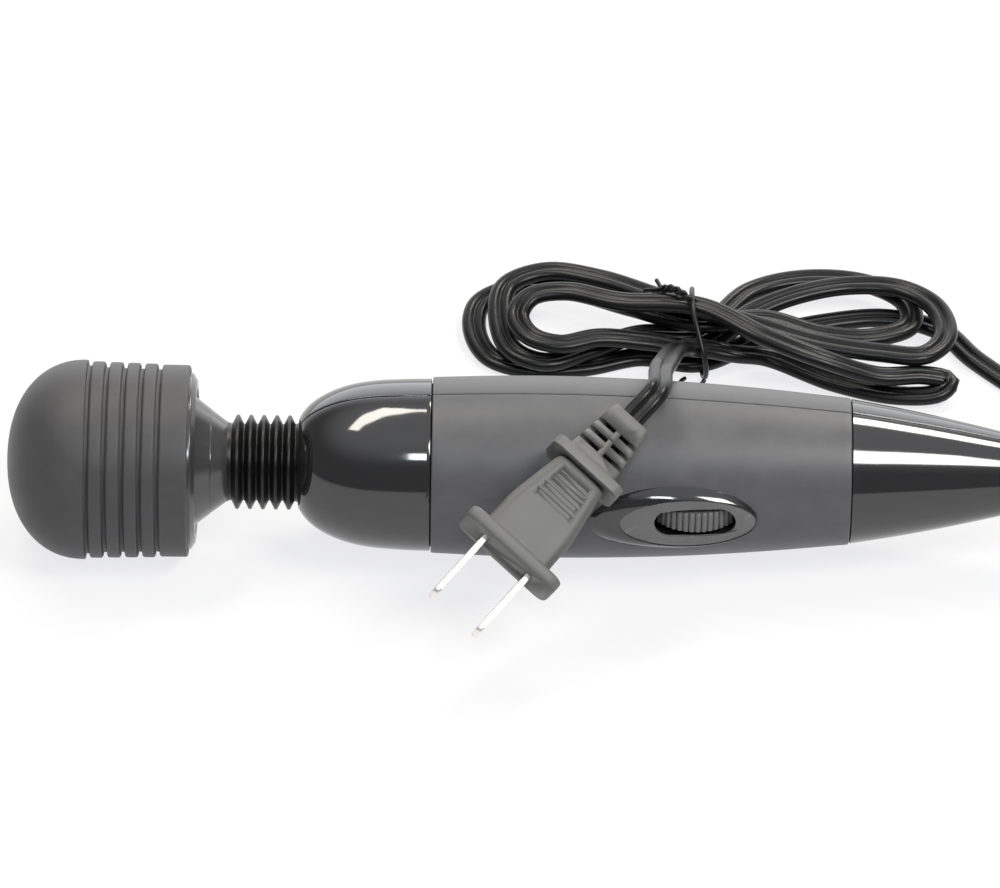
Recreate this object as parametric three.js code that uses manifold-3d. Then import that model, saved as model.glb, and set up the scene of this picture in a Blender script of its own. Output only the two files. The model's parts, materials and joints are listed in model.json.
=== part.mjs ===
// A corded handheld wand massager, lying on a table with its cord wound in a hank behind it and its
// plug hung over the front of the handle. Millimetres, +Z up. The wand's axis is parallel to X, with the
// head at the low end. The origin is the middle of the bounding box's bottom, on the table.
import * as THREE from "three";
import { mergeVertices } from "three/addons/utils/BufferGeometryUtils.js";
import Module from "manifold-3d";

const wasm = await Module();
wasm.setup();

// ---------------------------------------------------------------- driving dimensions

const LARGE_ROUND = 22; // sides of the head and handle
const ROUND = 18; // sides of the motor and neck
const SMALL_ROUND = 10; // sides of shafts and screws
const GAP = 0.2; // assembly clearance between neighbouring pieces

// Distances along the wand are measured from the head's tip.
const HEAD_RADIUS = 22.4;
const DOME_LENGTH = 18;
const GROOVE_COUNT = 5;
const GROOVE_PITCH = 3.84;
const GROOVE_DEPTH = 1.4;
const COLLAR_RADIUS = 21.5;
const COVER_END = 41;
const COVER_WALL = 3.6;
const CONE_END = 49;
const CONE_END_RADIUS = 9.3;
const BELLOWS_RIBS = 5;
const BELLOWS_PITCH = 3.2;
const BELLOWS_CREST = 10.4;
const BELLOWS_ROOT = 8.3;
const NECK_CENTRE = 57.5;
const NOSE_START = 65.7;
const GRIP_START = 95.5;
const GRIP_END = 189;
const HANDLE_END = 238.5;
const SHELL_WALL = 1.9;
const GRIP_THICKNESS = 1.2;
const SEAM_GAP = 0.2;
const WAND_ROLL = Math.PI / 2; // turns the thumb wheel from straight up to the front

// The handle's outline as [distance from the head's tip, radius].
const HANDLE_OUTLINE = [
  [65.7, 10.6],
  [68, 12.9],
  [72, 15.4],
  [77, 17.4],
  [83, 18.4],
  [95.5, 19.4],
  [110, 20.1],
  [126, 20.2],
  [144, 19.7],
  [162, 18.7],
  [178, 17.3],
  [192, 15.7],
  [207, 12.9],
  [222, 10],
  [234, 7.9],
  [238.5, 6.4],
];

// The thumb wheel and the oval plate it looks through, centred on the front shell.
const DIAL_X = 154.2;
const DIAL_RADIUS = 11.5;
const DIAL_WIDTH = 5.4;
const DIAL_CENTRE_HEIGHT = 8.8;
const DIAL_RIBS = 50;
const BEZEL_CENTRE = 149.6;
const BEZEL_LENGTH = 37.6;
const BEZEL_WIDTH = 17;
const PLATE_CENTRE = 152.6;
const PLATE_LENGTH = 30.4;
const PLATE_WIDTH = 12.8;
const PLATE_HEIGHT = 19.9; // of the middle of the plate's rim above the wand's axis
const PLATE_SLOPE = 0.055;
const PLATE_SEAT = 1; // depth of the plate's seat below its rim
const SLEEVE_LENGTH = 28.4;
const SLEEVE_WIDTH = 11.8;
const SLEEVE_BOTTOM = 16;
const SLOT_LENGTH = 18.2;
const SLOT_WIDTH = 7.4;

// Two-core flat cord and its hank. Distances in the hank are from its middle.
const CORE_RADIUS = 1.4;
const CORD_STEPS = 240;
const HANK_X = 156.6;
const HANK_Y = 72;
const TIE_RADIUS = 0.45;

// Plug. Its own X axis runs out along the blades from the face that meets the outlet.
const PLUG_FACE = new THREE.Vector3(112, -41, 27.9);
const PLUG_HEADING = THREE.MathUtils.degToRad(225.2);
const PLUG_DROP = THREE.MathUtils.degToRad(25);
const PLUG_LEAN = THREE.MathUtils.degToRad(-35.6);
const BLADE_SPACING = 12.7;
const BLADE_WIDTH = 6.35;
const BLADE_THICKNESS = 1.5;
const BLADE_LENGTH = 17.5;
const BLADE_ROOT = 12;
const PLUG_FLANGE = [26, 15, 3]; // across the blades, thick, and along the blades
const PLUG_BODY_LENGTH = 22;
const PLUG_BODY_WIDTH = [17.7, 13];
const PLUG_THICKNESS = 12;
const REAR_FLANGE = [19, 13, 2.8];
const BOOT_LENGTH = 14.5;
const BOOT_WIDTH = [13, 9.5];
const BOOT_THICKNESS = 8;

// ---------------------------------------------------------------- materials

function material(color, roughness, metalness = 0) {
  return new THREE.MeshStandardMaterial({ color, roughness, metalness });
}

const SOFT_GREY = material(0x4c4c4e, 0.6);
const GRIP_GREY = material(0x565658, 0.45);
const GLOSS_BLACK = material(0x141415, 0.08);
const SATIN_GREY = material(0x5a5a5a, 0.4);
const BLACK_RUBBER = material(0x101010, 0.35);
const CORD_BLACK = material(0x161617, 0.3);
const PLUG_GREY = material(0x62625f, 0.55);
const NICKEL = material(0xd8d4c8, 0.2, 1);
const STEEL = material(0x9a9a9c, 0.3, 1);
const ZINC = material(0x8c8f92, 0.4, 1);
const COPPER = material(0xb4693a, 0.35, 1);
const BRASS = material(0xb8923f, 0.3, 1);
const DARK_PLASTIC = material(0x2a2a2c, 0.5);
const WHITE_PLASTIC = material(0xd8d8d2, 0.5);
const FERRITE = material(0x2e2c2b, 0.7);
const CARBON = material(0x1a1a1a, 0.8);
const BOARD_GREEN = material(0x1f5a34, 0.5);
const HOSE_GREY = material(0x8a8a86, 0.6);
const LEAD_RED = material(0xa02420, 0.5);

// ---------------------------------------------------------------- geometry helpers

const UP = new THREE.Vector3(0, 0, 1);

function point(x, y) {
  return new THREE.Vector2(x, y);
}

/** A geometry as a manifold-3d solid. */
function solid(geometry) {
  const bare = (geometry.index ? geometry.toNonIndexed() : geometry.clone());
  bare.deleteAttribute("normal");
  bare.deleteAttribute("uv");
  const merged = mergeVertices(bare, 1e-4);
  return new wasm.Manifold(
    new wasm.Mesh({
      numProp: 3,
      vertProperties: new Float32Array(merged.attributes.position.array),
      triVerts: new Uint32Array(merged.index.array),
    }),
  );
}

/** A manifold-3d solid as a geometry. */
function geometryOf(made) {
  const mesh = made.getMesh();
  const geometry = new THREE.BufferGeometry();
  geometry.setAttribute("position", new THREE.BufferAttribute(mesh.vertProperties, 3));
  geometry.setIndex(new THREE.BufferAttribute(mesh.triVerts, 1));
  geometry.computeVertexNormals();
  return geometry;
}

/** The first geometry less all the others. */
function cut(geometry, ...cutters) {
  return geometryOf(cutters.reduce((left, cutter) => left.subtract(solid(cutter)), solid(geometry)));
}

/** All the geometries as one. */
function join(...geometries) {
  return geometryOf(geometries.map(solid).reduce((all, next) => all.add(next)));
}

/** Turns a closed outline of [distance along X, radius] pairs about the X axis. */
function turned(outline, segments = ROUND) {
  const area = outline.reduce((sum, [x, r], i) => {
    const [nextX, nextR] = outline[(i + 1) % outline.length];
    return sum + x * nextR - nextX * r;
  }, 0);
  const ordered = area > 0 ? [...outline].reverse() : [...outline];
  const touchesAxis = outline[0][1] === 0 && outline[outline.length - 1][1] === 0;
  const profile = ordered.map(([x, r]) => point(r, x));
  if (!touchesAxis) profile.push(profile[0].clone());
  return new THREE.LatheGeometry(profile, segments).rotateZ(-Math.PI / 2);
}

/** A plain round bar along X. */
function bar(start, end, radius, segments = SMALL_ROUND) {
  return turned([[start, 0], [start, radius], [end, radius], [end, 0]], segments);
}

/** A plain round tube along X. */
function tube(start, end, inner, outer, segments = ROUND) {
  return turned([[start, inner], [start, outer], [end, outer], [end, inner]], segments);
}

/** A round pin along Z between two heights. */
function pin(x, y, low, high, radius, segments = SMALL_ROUND) {
  const height = high - low;
  return new THREE.CylinderGeometry(radius, radius, height, segments)
    .rotateX(Math.PI / 2)
    .translate(x, y, low + height / 2);
}

/** A box between two corners. */
function block(low, high) {
  const [x, y, z] = low.map((value, i) => high[i] - value);
  return new THREE.BoxGeometry(x, y, z).translate(
    (low[0] + high[0]) / 2,
    (low[1] + high[1]) / 2,
    (low[2] + high[2]) / 2,
  );
}

/** An oval prism standing on the XY plane. */
function oval(centreX, length, width, low, high, segments = LARGE_ROUND) {
  const height = high - low;
  return new THREE.CylinderGeometry(1, 1, height, segments)
    .rotateX(Math.PI / 2)
    .scale(length / 2, width / 2, 1)
    .translate(centreX, 0, low + height / 2);
}

/** A flat shape with straight sides and an even thickness. */
function plate(shape, thickness, curveSegments = 6) {
  return new THREE.ExtrudeGeometry(shape, { depth: thickness, bevelEnabled: false, curveSegments });
}

/** A six-sided wire of even radius through some points. */
function wire(points, radius, steps = 12) {
  const shape = new THREE.Shape().absarc(0, 0, radius, 0, 2 * Math.PI);
  const path = new THREE.CatmullRomCurve3(points.map((p) => new THREE.Vector3(...p)));
  return new THREE.ExtrudeGeometry(shape, { extrudePath: path, steps, curveSegments: 3 });
}

function node(name, geometry, finish) {
  const mesh = new THREE.Mesh(geometry, finish);
  mesh.name = name;
  return mesh;
}

/** Radius of the handle's outside at a distance from the head's tip. */
const handleCurve = new THREE.SplineCurve(HANDLE_OUTLINE.map(([x, r]) => point(x, r)));
function handleRadius(x) {
  let low = 0;
  let high = 1;
  for (let i = 0; i < 40; i++) {
    const middle = (low + high) / 2;
    if (handleCurve.getPoint(middle).x < x) low = middle;
    else high = middle;
  }
  return handleCurve.getPoint(low).y;
}

/** [distance, radius] pairs along the handle, moved inwards by some depth. */
function handleLine(from, to, steps, depth) {
  return Array.from({ length: steps + 1 }, (_, i) => {
    const x = from + ((to - from) * i) / steps;
    return [x, handleRadius(x) - depth];
  });
}

// ---------------------------------------------------------------- head

/** Outline of half an oval dome with its tip towards the head's tip. */
function domeLine(tip, length, radius, steps) {
  return Array.from({ length: steps + 1 }, (_, i) => {
    const angle = (i / steps) * (Math.PI / 2);
    return [tip + length * (1 - Math.cos(angle)), radius * Math.sin(angle)];
  });
}

function headCover() {
  const outside = domeLine(0, DOME_LENGTH, HEAD_RADIUS, 7);
  for (let i = 0; i < GROOVE_COUNT; i++) {
    const start = DOME_LENGTH + i * GROOVE_PITCH;
    const after = i === GROOVE_COUNT - 1 ? COLLAR_RADIUS : HEAD_RADIUS - 0.4;
    outside.push([start + 0.3, HEAD_RADIUS - 0.4], [start + 1, HEAD_RADIUS - GROOVE_DEPTH - 0.3]);
    outside.push([start + 1.7, after]);
  }
  outside.push([COVER_END - 0.6, COLLAR_RADIUS], [COVER_END, COLLAR_RADIUS - 0.6]);
  const inside = domeLine(COVER_WALL, DOME_LENGTH - COVER_WALL, HEAD_RADIUS - COVER_WALL, 4);
  inside.push([COVER_END, HEAD_RADIUS - COVER_WALL]);
  return turned([...outside, ...inside.reverse()], LARGE_ROUND);
}

const CORE_RADIUS_OUT = HEAD_RADIUS - COVER_WALL - GAP;
const CORE_END = 36.5;
const CHAMBER_RADIUS = CORE_RADIUS_OUT - 2;
const BEARING_RADIUS = 5;
const FRONT_BEARING = 8.5;
const REAR_BEARING = 37.2;
const BEARING_LENGTH = 3.6;
const SHAFT_RADIUS = 1.5;

/** The hard cup that the soft cover is stretched over. Its front wall carries the front bearing. */
function headCore() {
  const tip = COVER_WALL + GAP;
  const outside = domeLine(tip, DOME_LENGTH - tip, CORE_RADIUS_OUT, 4);
  outside.push([CORE_END, CORE_RADIUS_OUT]);
  const inside = [
    [CORE_END, CHAMBER_RADIUS],
    [18, CHAMBER_RADIUS],
    [13.5, 13.5],
    [13.5, BEARING_RADIUS + GAP],
    [FRONT_BEARING, BEARING_RADIUS + GAP],
    [FRONT_BEARING, 0],
  ];
  return turned([...outside, ...inside], LARGE_ROUND);
}

/** The gloss cone behind the head: it closes the chamber and carries the rear bearing and neck spring. */
function headBase() {
  const spigotEnd = 52.5;
  return turned(
    [
      [CORE_END - 4, CHAMBER_RADIUS - GAP],
      [CORE_END + GAP, CHAMBER_RADIUS - GAP],
      [CORE_END + GAP, CORE_RADIUS_OUT],
      [COVER_END + 0.3, CORE_RADIUS_OUT - 0.1],
      [COVER_END + 1.4, CORE_RADIUS_OUT - 1],
      [COVER_END + 1.4, 16.2],
      [COVER_END, 15.9],
      [COVER_END, 15.4],
      [43.2, 13.3],
      [45.8, 11.5],
      [45.8, 11.2],
      [CONE_END, CONE_END_RADIUS],
      [CONE_END, 5.2],
      [spigotEnd, 5.2],
      [spigotEnd, 3.6],
      [REAR_BEARING + BEARING_LENGTH + GAP, 3.6],
      [REAR_BEARING + BEARING_LENGTH + GAP, BEARING_RADIUS + GAP],
      [REAR_BEARING - 0.2, BEARING_RADIUS + GAP],
      [REAR_BEARING - 0.2, 7],
      [CORE_END - 4, 14.5],
    ],
    LARGE_ROUND,
  );
}

function bearing(start) {
  return tube(start, start + BEARING_LENGTH, SHAFT_RADIUS + GAP, BEARING_RADIUS);
}

const WEIGHT_START = 16;
const WEIGHT_END = 31;
const WEIGHT_RADIUS = 13;
const SHAFT_FRONT = 9;
const SHAFT_BREAK = 3; // each shaft stops this far short of the neck's centre

/** A lopsided disc: most of one half of it is cut away, so it shakes the head as it turns. */
function eccentricWeight() {
  const shape = new THREE.Shape();
  const halfAngle = THREE.MathUtils.degToRad(80);
  shape.absarc(0, 0, WEIGHT_RADIUS, -halfAngle - Math.PI / 2, halfAngle - Math.PI / 2);
  shape.absarc(0, 0, 4, halfAngle - Math.PI / 2, 1.5 * Math.PI - halfAngle);
  const sector = plate(shape, WEIGHT_END - WEIGHT_START, 12).rotateY(Math.PI / 2).translate(WEIGHT_START, 0, 0);
  return cut(sector, bar(WEIGHT_START - 1, WEIGHT_END + 1, SHAFT_RADIUS + 0.1));
}

function buildHead() {
  return [
    node("head_cover", headCover(), SOFT_GREY),
    node("head_core", headCore(), DARK_PLASTIC),
    node("head_base", headBase(), GLOSS_BLACK),
    node("head_bearing_front", bearing(FRONT_BEARING + 0.2), STEEL),
    node("head_bearing_rear", bearing(REAR_BEARING), STEEL),
    node("eccentric_weight", eccentricWeight(), ZINC),
    node("eccentric_shaft", bar(SHAFT_FRONT, NECK_CENTRE - SHAFT_BREAK, SHAFT_RADIUS), STEEL),
  ];
}

// ---------------------------------------------------------------- neck

const BELLOWS_WALL = 1.2;
const FLANGE_START = 72;
const FLANGE_RADIUS = 12;
const SLEEVE_RADIUS = 9.5;
const POCKET_END = 77;

/** The ribbed rubber boot, from the head's cone to a flange held inside the nose. */
function neckBellows() {
  const start = CONE_END + GAP;
  const firstCrest = NECK_CENTRE - ((BELLOWS_RIBS - 1) / 2) * BELLOWS_PITCH;
  const outside = [[start, BELLOWS_ROOT + 0.3], [firstCrest - BELLOWS_PITCH / 2, BELLOWS_ROOT]];
  for (let i = 0; i < BELLOWS_RIBS; i++) {
    const crest = firstCrest + i * BELLOWS_PITCH;
    outside.push([crest, BELLOWS_CREST], [crest + BELLOWS_PITCH / 2, BELLOWS_ROOT]);
  }
  const end = FLANGE_START + 2;
  outside.push([NOSE_START + 0.6, SLEEVE_RADIUS], [FLANGE_START, SLEEVE_RADIUS]);
  outside.push([FLANGE_START, FLANGE_RADIUS], [end, FLANGE_RADIUS]);
  const bore = BELLOWS_ROOT - BELLOWS_WALL;
  return turned([...outside, [end, bore], [start, bore]]);
}

/** The coil spring inside the boot that carries the head and brings it back into line. */
function neckSpring() {
  const wireRadius = 0.55;
  const coilRadius = 6;
  const coils = 4;
  const length = 2 * (NECK_CENTRE - CONE_END) - 2.2;
  class Helix extends THREE.Curve {
    getPoint(t, target = new THREE.Vector3()) {
      const angle = t * coils * 2 * Math.PI;
      const x = NECK_CENTRE + (t - 0.5) * length;
      return target.set(x, coilRadius * Math.cos(angle), coilRadius * Math.sin(angle));
    }
  }
  const shape = new THREE.Shape().absarc(0, 0, wireRadius, 0, 2 * Math.PI);
  return new THREE.ExtrudeGeometry(shape, { extrudePath: new Helix(), steps: coils * 10, curveSegments: 3 });
}

/** The flanged socket behind the boot: it clamps the boot's flange and holds the neck spring's other end. */
function neckSocket() {
  const front = 2 * NECK_CENTRE - 52.5;
  const flange = FLANGE_START + 2 + GAP;
  return turned([
    [front, 3.6],
    [front, 5.2],
    [flange, 5.2],
    [flange, FLANGE_RADIUS],
    [POCKET_END - GAP, FLANGE_RADIUS],
    [POCKET_END - GAP, 3.6],
  ]);
}

const COUPLING_HALF = 7.5;
const COUPLING_RADIUS = 3;

function buildNeck() {
  const [front, rear] = [NECK_CENTRE - COUPLING_HALF, NECK_CENTRE + COUPLING_HALF];
  const coupling = tube(front, rear, SHAFT_RADIUS + 0.1, COUPLING_RADIUS, SMALL_ROUND);
  return [
    node("neck_bellows", neckBellows(), BLACK_RUBBER),
    node("neck_spring", neckSpring(), STEEL),
    node("neck_socket", neckSocket(), DARK_PLASTIC),
    node("drive_coupling", coupling, HOSE_GREY),
  ];
}

// ---------------------------------------------------------------- motor

const CAN_START = 80;
const CAN_END = 116;
const CAN_RADIUS = 13.5;
const CAN_WALL = 1.2;
const MAGNET_INNER = 9.6;
const ARMATURE_RADIUS = 8.9;
const STACK_START = 86;
const STACK_END = 104;
const BUSH_RADIUS = 3.2;
const SHAFT_REAR = 119;

/** The steel can, closed at the front apart from the bush's seat and open at the back. */
function motorCan() {
  return turned([
    [CAN_START - 2, BUSH_RADIUS + GAP],
    [CAN_START - 2, 5],
    [CAN_START, 5],
    [CAN_START, CAN_RADIUS],
    [CAN_END, CAN_RADIUS],
    [CAN_END, CAN_RADIUS - CAN_WALL],
    [CAN_START + CAN_WALL, CAN_RADIUS - CAN_WALL],
    [CAN_START + CAN_WALL, BUSH_RADIUS + GAP],
  ]);
}

/** The moulded cap that closes the can and carries the rear bush and the brushes. */
function motorEndCap() {
  return turned([
    [CAN_END - 3, CAN_RADIUS - CAN_WALL - 2],
    [CAN_END - 3, CAN_RADIUS - CAN_WALL - GAP],
    [CAN_END + GAP, CAN_RADIUS - CAN_WALL - GAP],
    [CAN_END + GAP, CAN_RADIUS],
    [CAN_END + 2, CAN_RADIUS],
    [CAN_END + 2, 5],
    [CAN_END + 4, 5],
    [CAN_END + 4, BUSH_RADIUS + GAP],
    [CAN_END, BUSH_RADIUS + GAP],
    [CAN_END, CAN_RADIUS - CAN_WALL - 2],
  ]);
}

/** One of the two curved magnets inside the can. */
function magnet(centreAngle) {
  const shape = new THREE.Shape();
  const halfAngle = THREE.MathUtils.degToRad(62);
  shape.absarc(0, 0, CAN_RADIUS - CAN_WALL - GAP, centreAngle - halfAngle, centreAngle + halfAngle, false);
  shape.absarc(0, 0, MAGNET_INNER, centreAngle + halfAngle, centreAngle - halfAngle, true);
  return plate(shape, STACK_END - STACK_START, 6).rotateY(Math.PI / 2).translate(STACK_START, 0, 0);
}

const POLES = 3;
const POLE_WIDTH = 3.2;
const HUB_RADIUS = 3.6;

/** The laminated three-pole core of the armature. */
function armatureStack() {
  const length = STACK_END - STACK_START;
  const hub = bar(STACK_START, STACK_END, HUB_RADIUS);
  const ring = tube(STACK_START, STACK_END, ARMATURE_RADIUS - 1.4, ARMATURE_RADIUS);
  let poles = solid(hub);
  for (let i = 0; i < POLES; i++) {
    const turn = (i * 2 * Math.PI) / POLES;
    const leg = block([STACK_START, -POLE_WIDTH / 2, 2], [STACK_END, POLE_WIDTH / 2, ARMATURE_RADIUS - 0.6]);
    poles = poles.add(solid(leg.rotateX(turn)));
  }
  let shoes = solid(ring);
  for (let i = 0; i < POLES; i++) {
    const turn = (i * 2 * Math.PI) / POLES;
    const slot = new THREE.BoxGeometry(length + 2, 3.6, 6);
    slot.translate((STACK_START + STACK_END) / 2, 0, -ARMATURE_RADIUS).rotateX(turn);
    shoes = shoes.subtract(solid(slot));
  }
  return geometryOf(poles.add(shoes).subtract(solid(bar(STACK_START - 1, STACK_END + 1, SHAFT_RADIUS + 0.1))));
}

/** The winding round one pole: a square ring of wire, a little longer than the stack. */
function armatureCoil(index) {
  const over = 1.4;
  const low = HUB_RADIUS + 0.9;
  const high = ARMATURE_RADIUS - 2.4;
  const side = POLE_WIDTH / 2 + over;
  const outer = block([STACK_START - over, -side, low], [STACK_END + over, side, high]);
  const inner = block(
    [STACK_START - GAP, -POLE_WIDTH / 2 - GAP, low - 1],
    [STACK_END + GAP, POLE_WIDTH / 2 + GAP, high + 1],
  );
  return cut(outer, inner).rotateX((index * 2 * Math.PI) / POLES);
}

const COMMUTATOR_START = 107;
const COMMUTATOR_END = 113;
const COMMUTATOR_RADIUS = 3.4;

/** A carbon brush that rides on the commutator, on an arm from the end cap. */
function brush(side) {
  const inner = COMMUTATOR_RADIUS + 0.1;
  const brushBlock = block([COMMUTATOR_START + 1.5, -1.5, inner], [CAN_END - GAP, 1.5, inner + 4.5]);
  return side > 0 ? brushBlock : brushBlock.rotateX(Math.PI);
}

/** A rubber ring that holds the motor inside the shells and keeps its shake out of the handle. */
function motorRing(start, end) {
  const outer = Math.min(handleRadius(start), handleRadius(end)) - SHELL_WALL - GRIP_THICKNESS - 2 * GAP;
  return tube(start, end, CAN_RADIUS + GAP, outer, LARGE_ROUND);
}

const FRONT_RING = [96, 101];
const REAR_RING = [110, 115];

function buildMotor() {
  const coil = (_, i) => node(`armature_coil_${i + 1}`, armatureCoil(i), COPPER);
  const coils = Array.from({ length: POLES }, coil);
  const commutator = tube(COMMUTATOR_START, COMMUTATOR_END, SHAFT_RADIUS + 0.1, COMMUTATOR_RADIUS);
  const frontBush = tube(CAN_START - 2, CAN_START + 2, SHAFT_RADIUS + GAP, BUSH_RADIUS, SMALL_ROUND);
  const rearBush = tube(CAN_END, CAN_END + 3.6, SHAFT_RADIUS + GAP, BUSH_RADIUS, SMALL_ROUND);
  return [
    node("motor_can", motorCan(), ZINC),
    node("motor_end_cap", motorEndCap(), WHITE_PLASTIC),
    node("motor_magnet_upper", magnet(Math.PI), FERRITE),
    node("motor_magnet_lower", magnet(0), FERRITE),
    node("motor_bush_front", frontBush, BRASS),
    node("motor_bush_rear", rearBush, BRASS),
    node("motor_shaft", bar(NECK_CENTRE + SHAFT_BREAK, SHAFT_REAR, SHAFT_RADIUS), STEEL),
    node("armature_stack", armatureStack(), STEEL),
    ...coils,
    node("commutator", commutator, COPPER),
    node("brush_upper", brush(1), CARBON),
    node("brush_lower", brush(-1), CARBON),
    node("motor_ring_front", motorRing(...FRONT_RING), BLACK_RUBBER),
    node("motor_ring_rear", motorRing(...REAR_RING), BLACK_RUBBER),
  ];
}

// ---------------------------------------------------------------- handle

const RECESS = GRIP_THICKNESS + GAP;
const BOOT_HOLE_RADIUS = 4.2;
const SCREWS = [
  [124, 11],
  [124, -11],
  [198, 7.6],
  [198, -7.6],
];
const SCREW_RADIUS = 1.2;
const SCREW_HEAD_RADIUS = 2.3;
const BOSS_RADIUS = 3;
const BOSS_DEPTH = 1.7; // of the bosses' outer ends below the handle's outline
const HANDLE_STEPS = 7;

/** The whole hollow handle before it is split along the wand. */
function handleTube() {
  const outside = [
    ...handleLine(NOSE_START, 80, 5, 0),
    ...handleLine(86, GRIP_START, 1, 0),
    ...handleLine(GRIP_START, GRIP_END, HANDLE_STEPS, RECESS),
    ...handleLine(GRIP_END, 234, 4, 0),
    [HANDLE_END - 1, 7],
    [HANDLE_END, 5.8],
  ];
  const inside = [
    [HANDLE_END, BOOT_HOLE_RADIUS],
    [HANDLE_END - 2.5, BOOT_HOLE_RADIUS],
    [HANDLE_END - 2.5, BOOT_HOLE_RADIUS + 1.5],
    ...handleLine(234, GRIP_END, 3, SHELL_WALL),
    ...handleLine(GRIP_END - 2, GRIP_START, 4, RECESS + SHELL_WALL),
    ...handleLine(GRIP_START - 2, POCKET_END + 2, 1, SHELL_WALL),
    [POCKET_END, FLANGE_RADIUS + 2 * GAP],
    [FLANGE_START - GAP, FLANGE_RADIUS + 2 * GAP],
    [FLANGE_START - GAP, SLEEVE_RADIUS + GAP],
    [NOSE_START, SLEEVE_RADIUS + GAP],
  ];
  return turned([...outside, ...inside], LARGE_ROUND);
}

/** A half of the whole handle: the side above the seam if side is 1, or below it if side is -1. */
function halfOf(geometry, side) {
  const far = 40;
  const edge = SEAM_GAP / 2;
  const low = side > 0 ? -far : -edge;
  const high = side > 0 ? edge : far;
  return cut(geometry, block([-10, -far, low], [HANDLE_END + 20, far, high]));
}

/** The space that the screw bosses may fill. */
function bossLimit() {
  return turned([[100, 0], ...handleLine(100, 230, 10, BOSS_DEPTH), [230, 0]], LARGE_ROUND);
}

function frontShell() {
  let shell = solid(halfOf(handleTube(), 1));
  const skin = solid(bossLimit());
  for (const [x, y] of SCREWS) {
    shell = shell.add(solid(pin(x, y, SEAM_GAP / 2, 18, BOSS_RADIUS)).intersect(skin));
    shell = shell.subtract(solid(pin(x, y, -1, 7, SCREW_RADIUS + 0.1, 12)));
  }
  const opening = oval(PLATE_CENTRE, SLEEVE_LENGTH + 4 * GAP, SLEEVE_WIDTH + 4 * GAP, 5, 30, ROUND);
  return geometryOf(shell.subtract(solid(opening)));
}

function backShell() {
  let shell = solid(halfOf(handleTube(), -1));
  const skin = solid(bossLimit());
  for (const [x, y] of SCREWS) {
    shell = shell.add(solid(pin(x, y, -18, -SEAM_GAP / 2, BOSS_RADIUS)).intersect(skin));
    shell = shell.subtract(solid(pin(x, y, -8, 1, SCREW_RADIUS + 0.2, 12)));
    shell = shell.subtract(solid(pin(x, y, -30, -5, SCREW_HEAD_RADIUS + 0.2)));
  }
  return geometryOf(shell);
}

/** A matt panel that fills the recess round the middle of one shell. */
function gripPanel(side) {
  const outside = handleLine(GRIP_START + GAP, GRIP_END - GAP, HANDLE_STEPS, 0);
  const inside = handleLine(GRIP_END - GAP, GRIP_START + GAP, HANDLE_STEPS, GRIP_THICKNESS);
  const panel = halfOf(turned([...outside, ...inside], LARGE_ROUND), side);
  if (side < 0) return panel;
  return cut(panel, oval(BEZEL_CENTRE, BEZEL_LENGTH + 4 * GAP, BEZEL_WIDTH + 4 * GAP, 5, 30));
}

/** A pan-head screw driven up into the front shell, with its head below. */
function shellScrew(x, y) {
  return join(pin(x, y, -5.4, 6.5, SCREW_RADIUS, 12), pin(x, y, -6.8, -5.2, SCREW_HEAD_RADIUS));
}

function buildHandle() {
  return [
    node("front_shell", frontShell(), GLOSS_BLACK),
    node("back_shell", backShell(), GLOSS_BLACK),
    node("grip_front", gripPanel(1), GRIP_GREY),
    node("grip_back", gripPanel(-1), GRIP_GREY),
    ...SCREWS.map(([x, y], i) => node(`shell_screw_${i + 1}`, shellScrew(x, y), STEEL)),
  ];
}

// ---------------------------------------------------------------- switch

/** The slot the wheel looks through: straight sides and round ends. */
function slotPrism(length, width, low, high) {
  const shape = new THREE.Shape();
  const half = length / 2 - width / 2;
  shape.absarc(half, 0, width / 2, -Math.PI / 2, Math.PI / 2);
  shape.absarc(-half, 0, width / 2, Math.PI / 2, 1.5 * Math.PI);
  return plate(shape, high - low, 6).translate(DIAL_X, 0, low);
}

/** Height above the wand's axis of the handle's front at a place, some depth below its surface. */
function surfaceHeight(x, y, depth) {
  return Math.sqrt((handleRadius(x) - depth) ** 2 - y ** 2);
}

/** Height of the plate's rim, which slopes with the handle. */
function rimHeight(x) {
  return PLATE_HEIGHT - PLATE_SLOPE * (x - PLATE_CENTRE);
}

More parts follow.
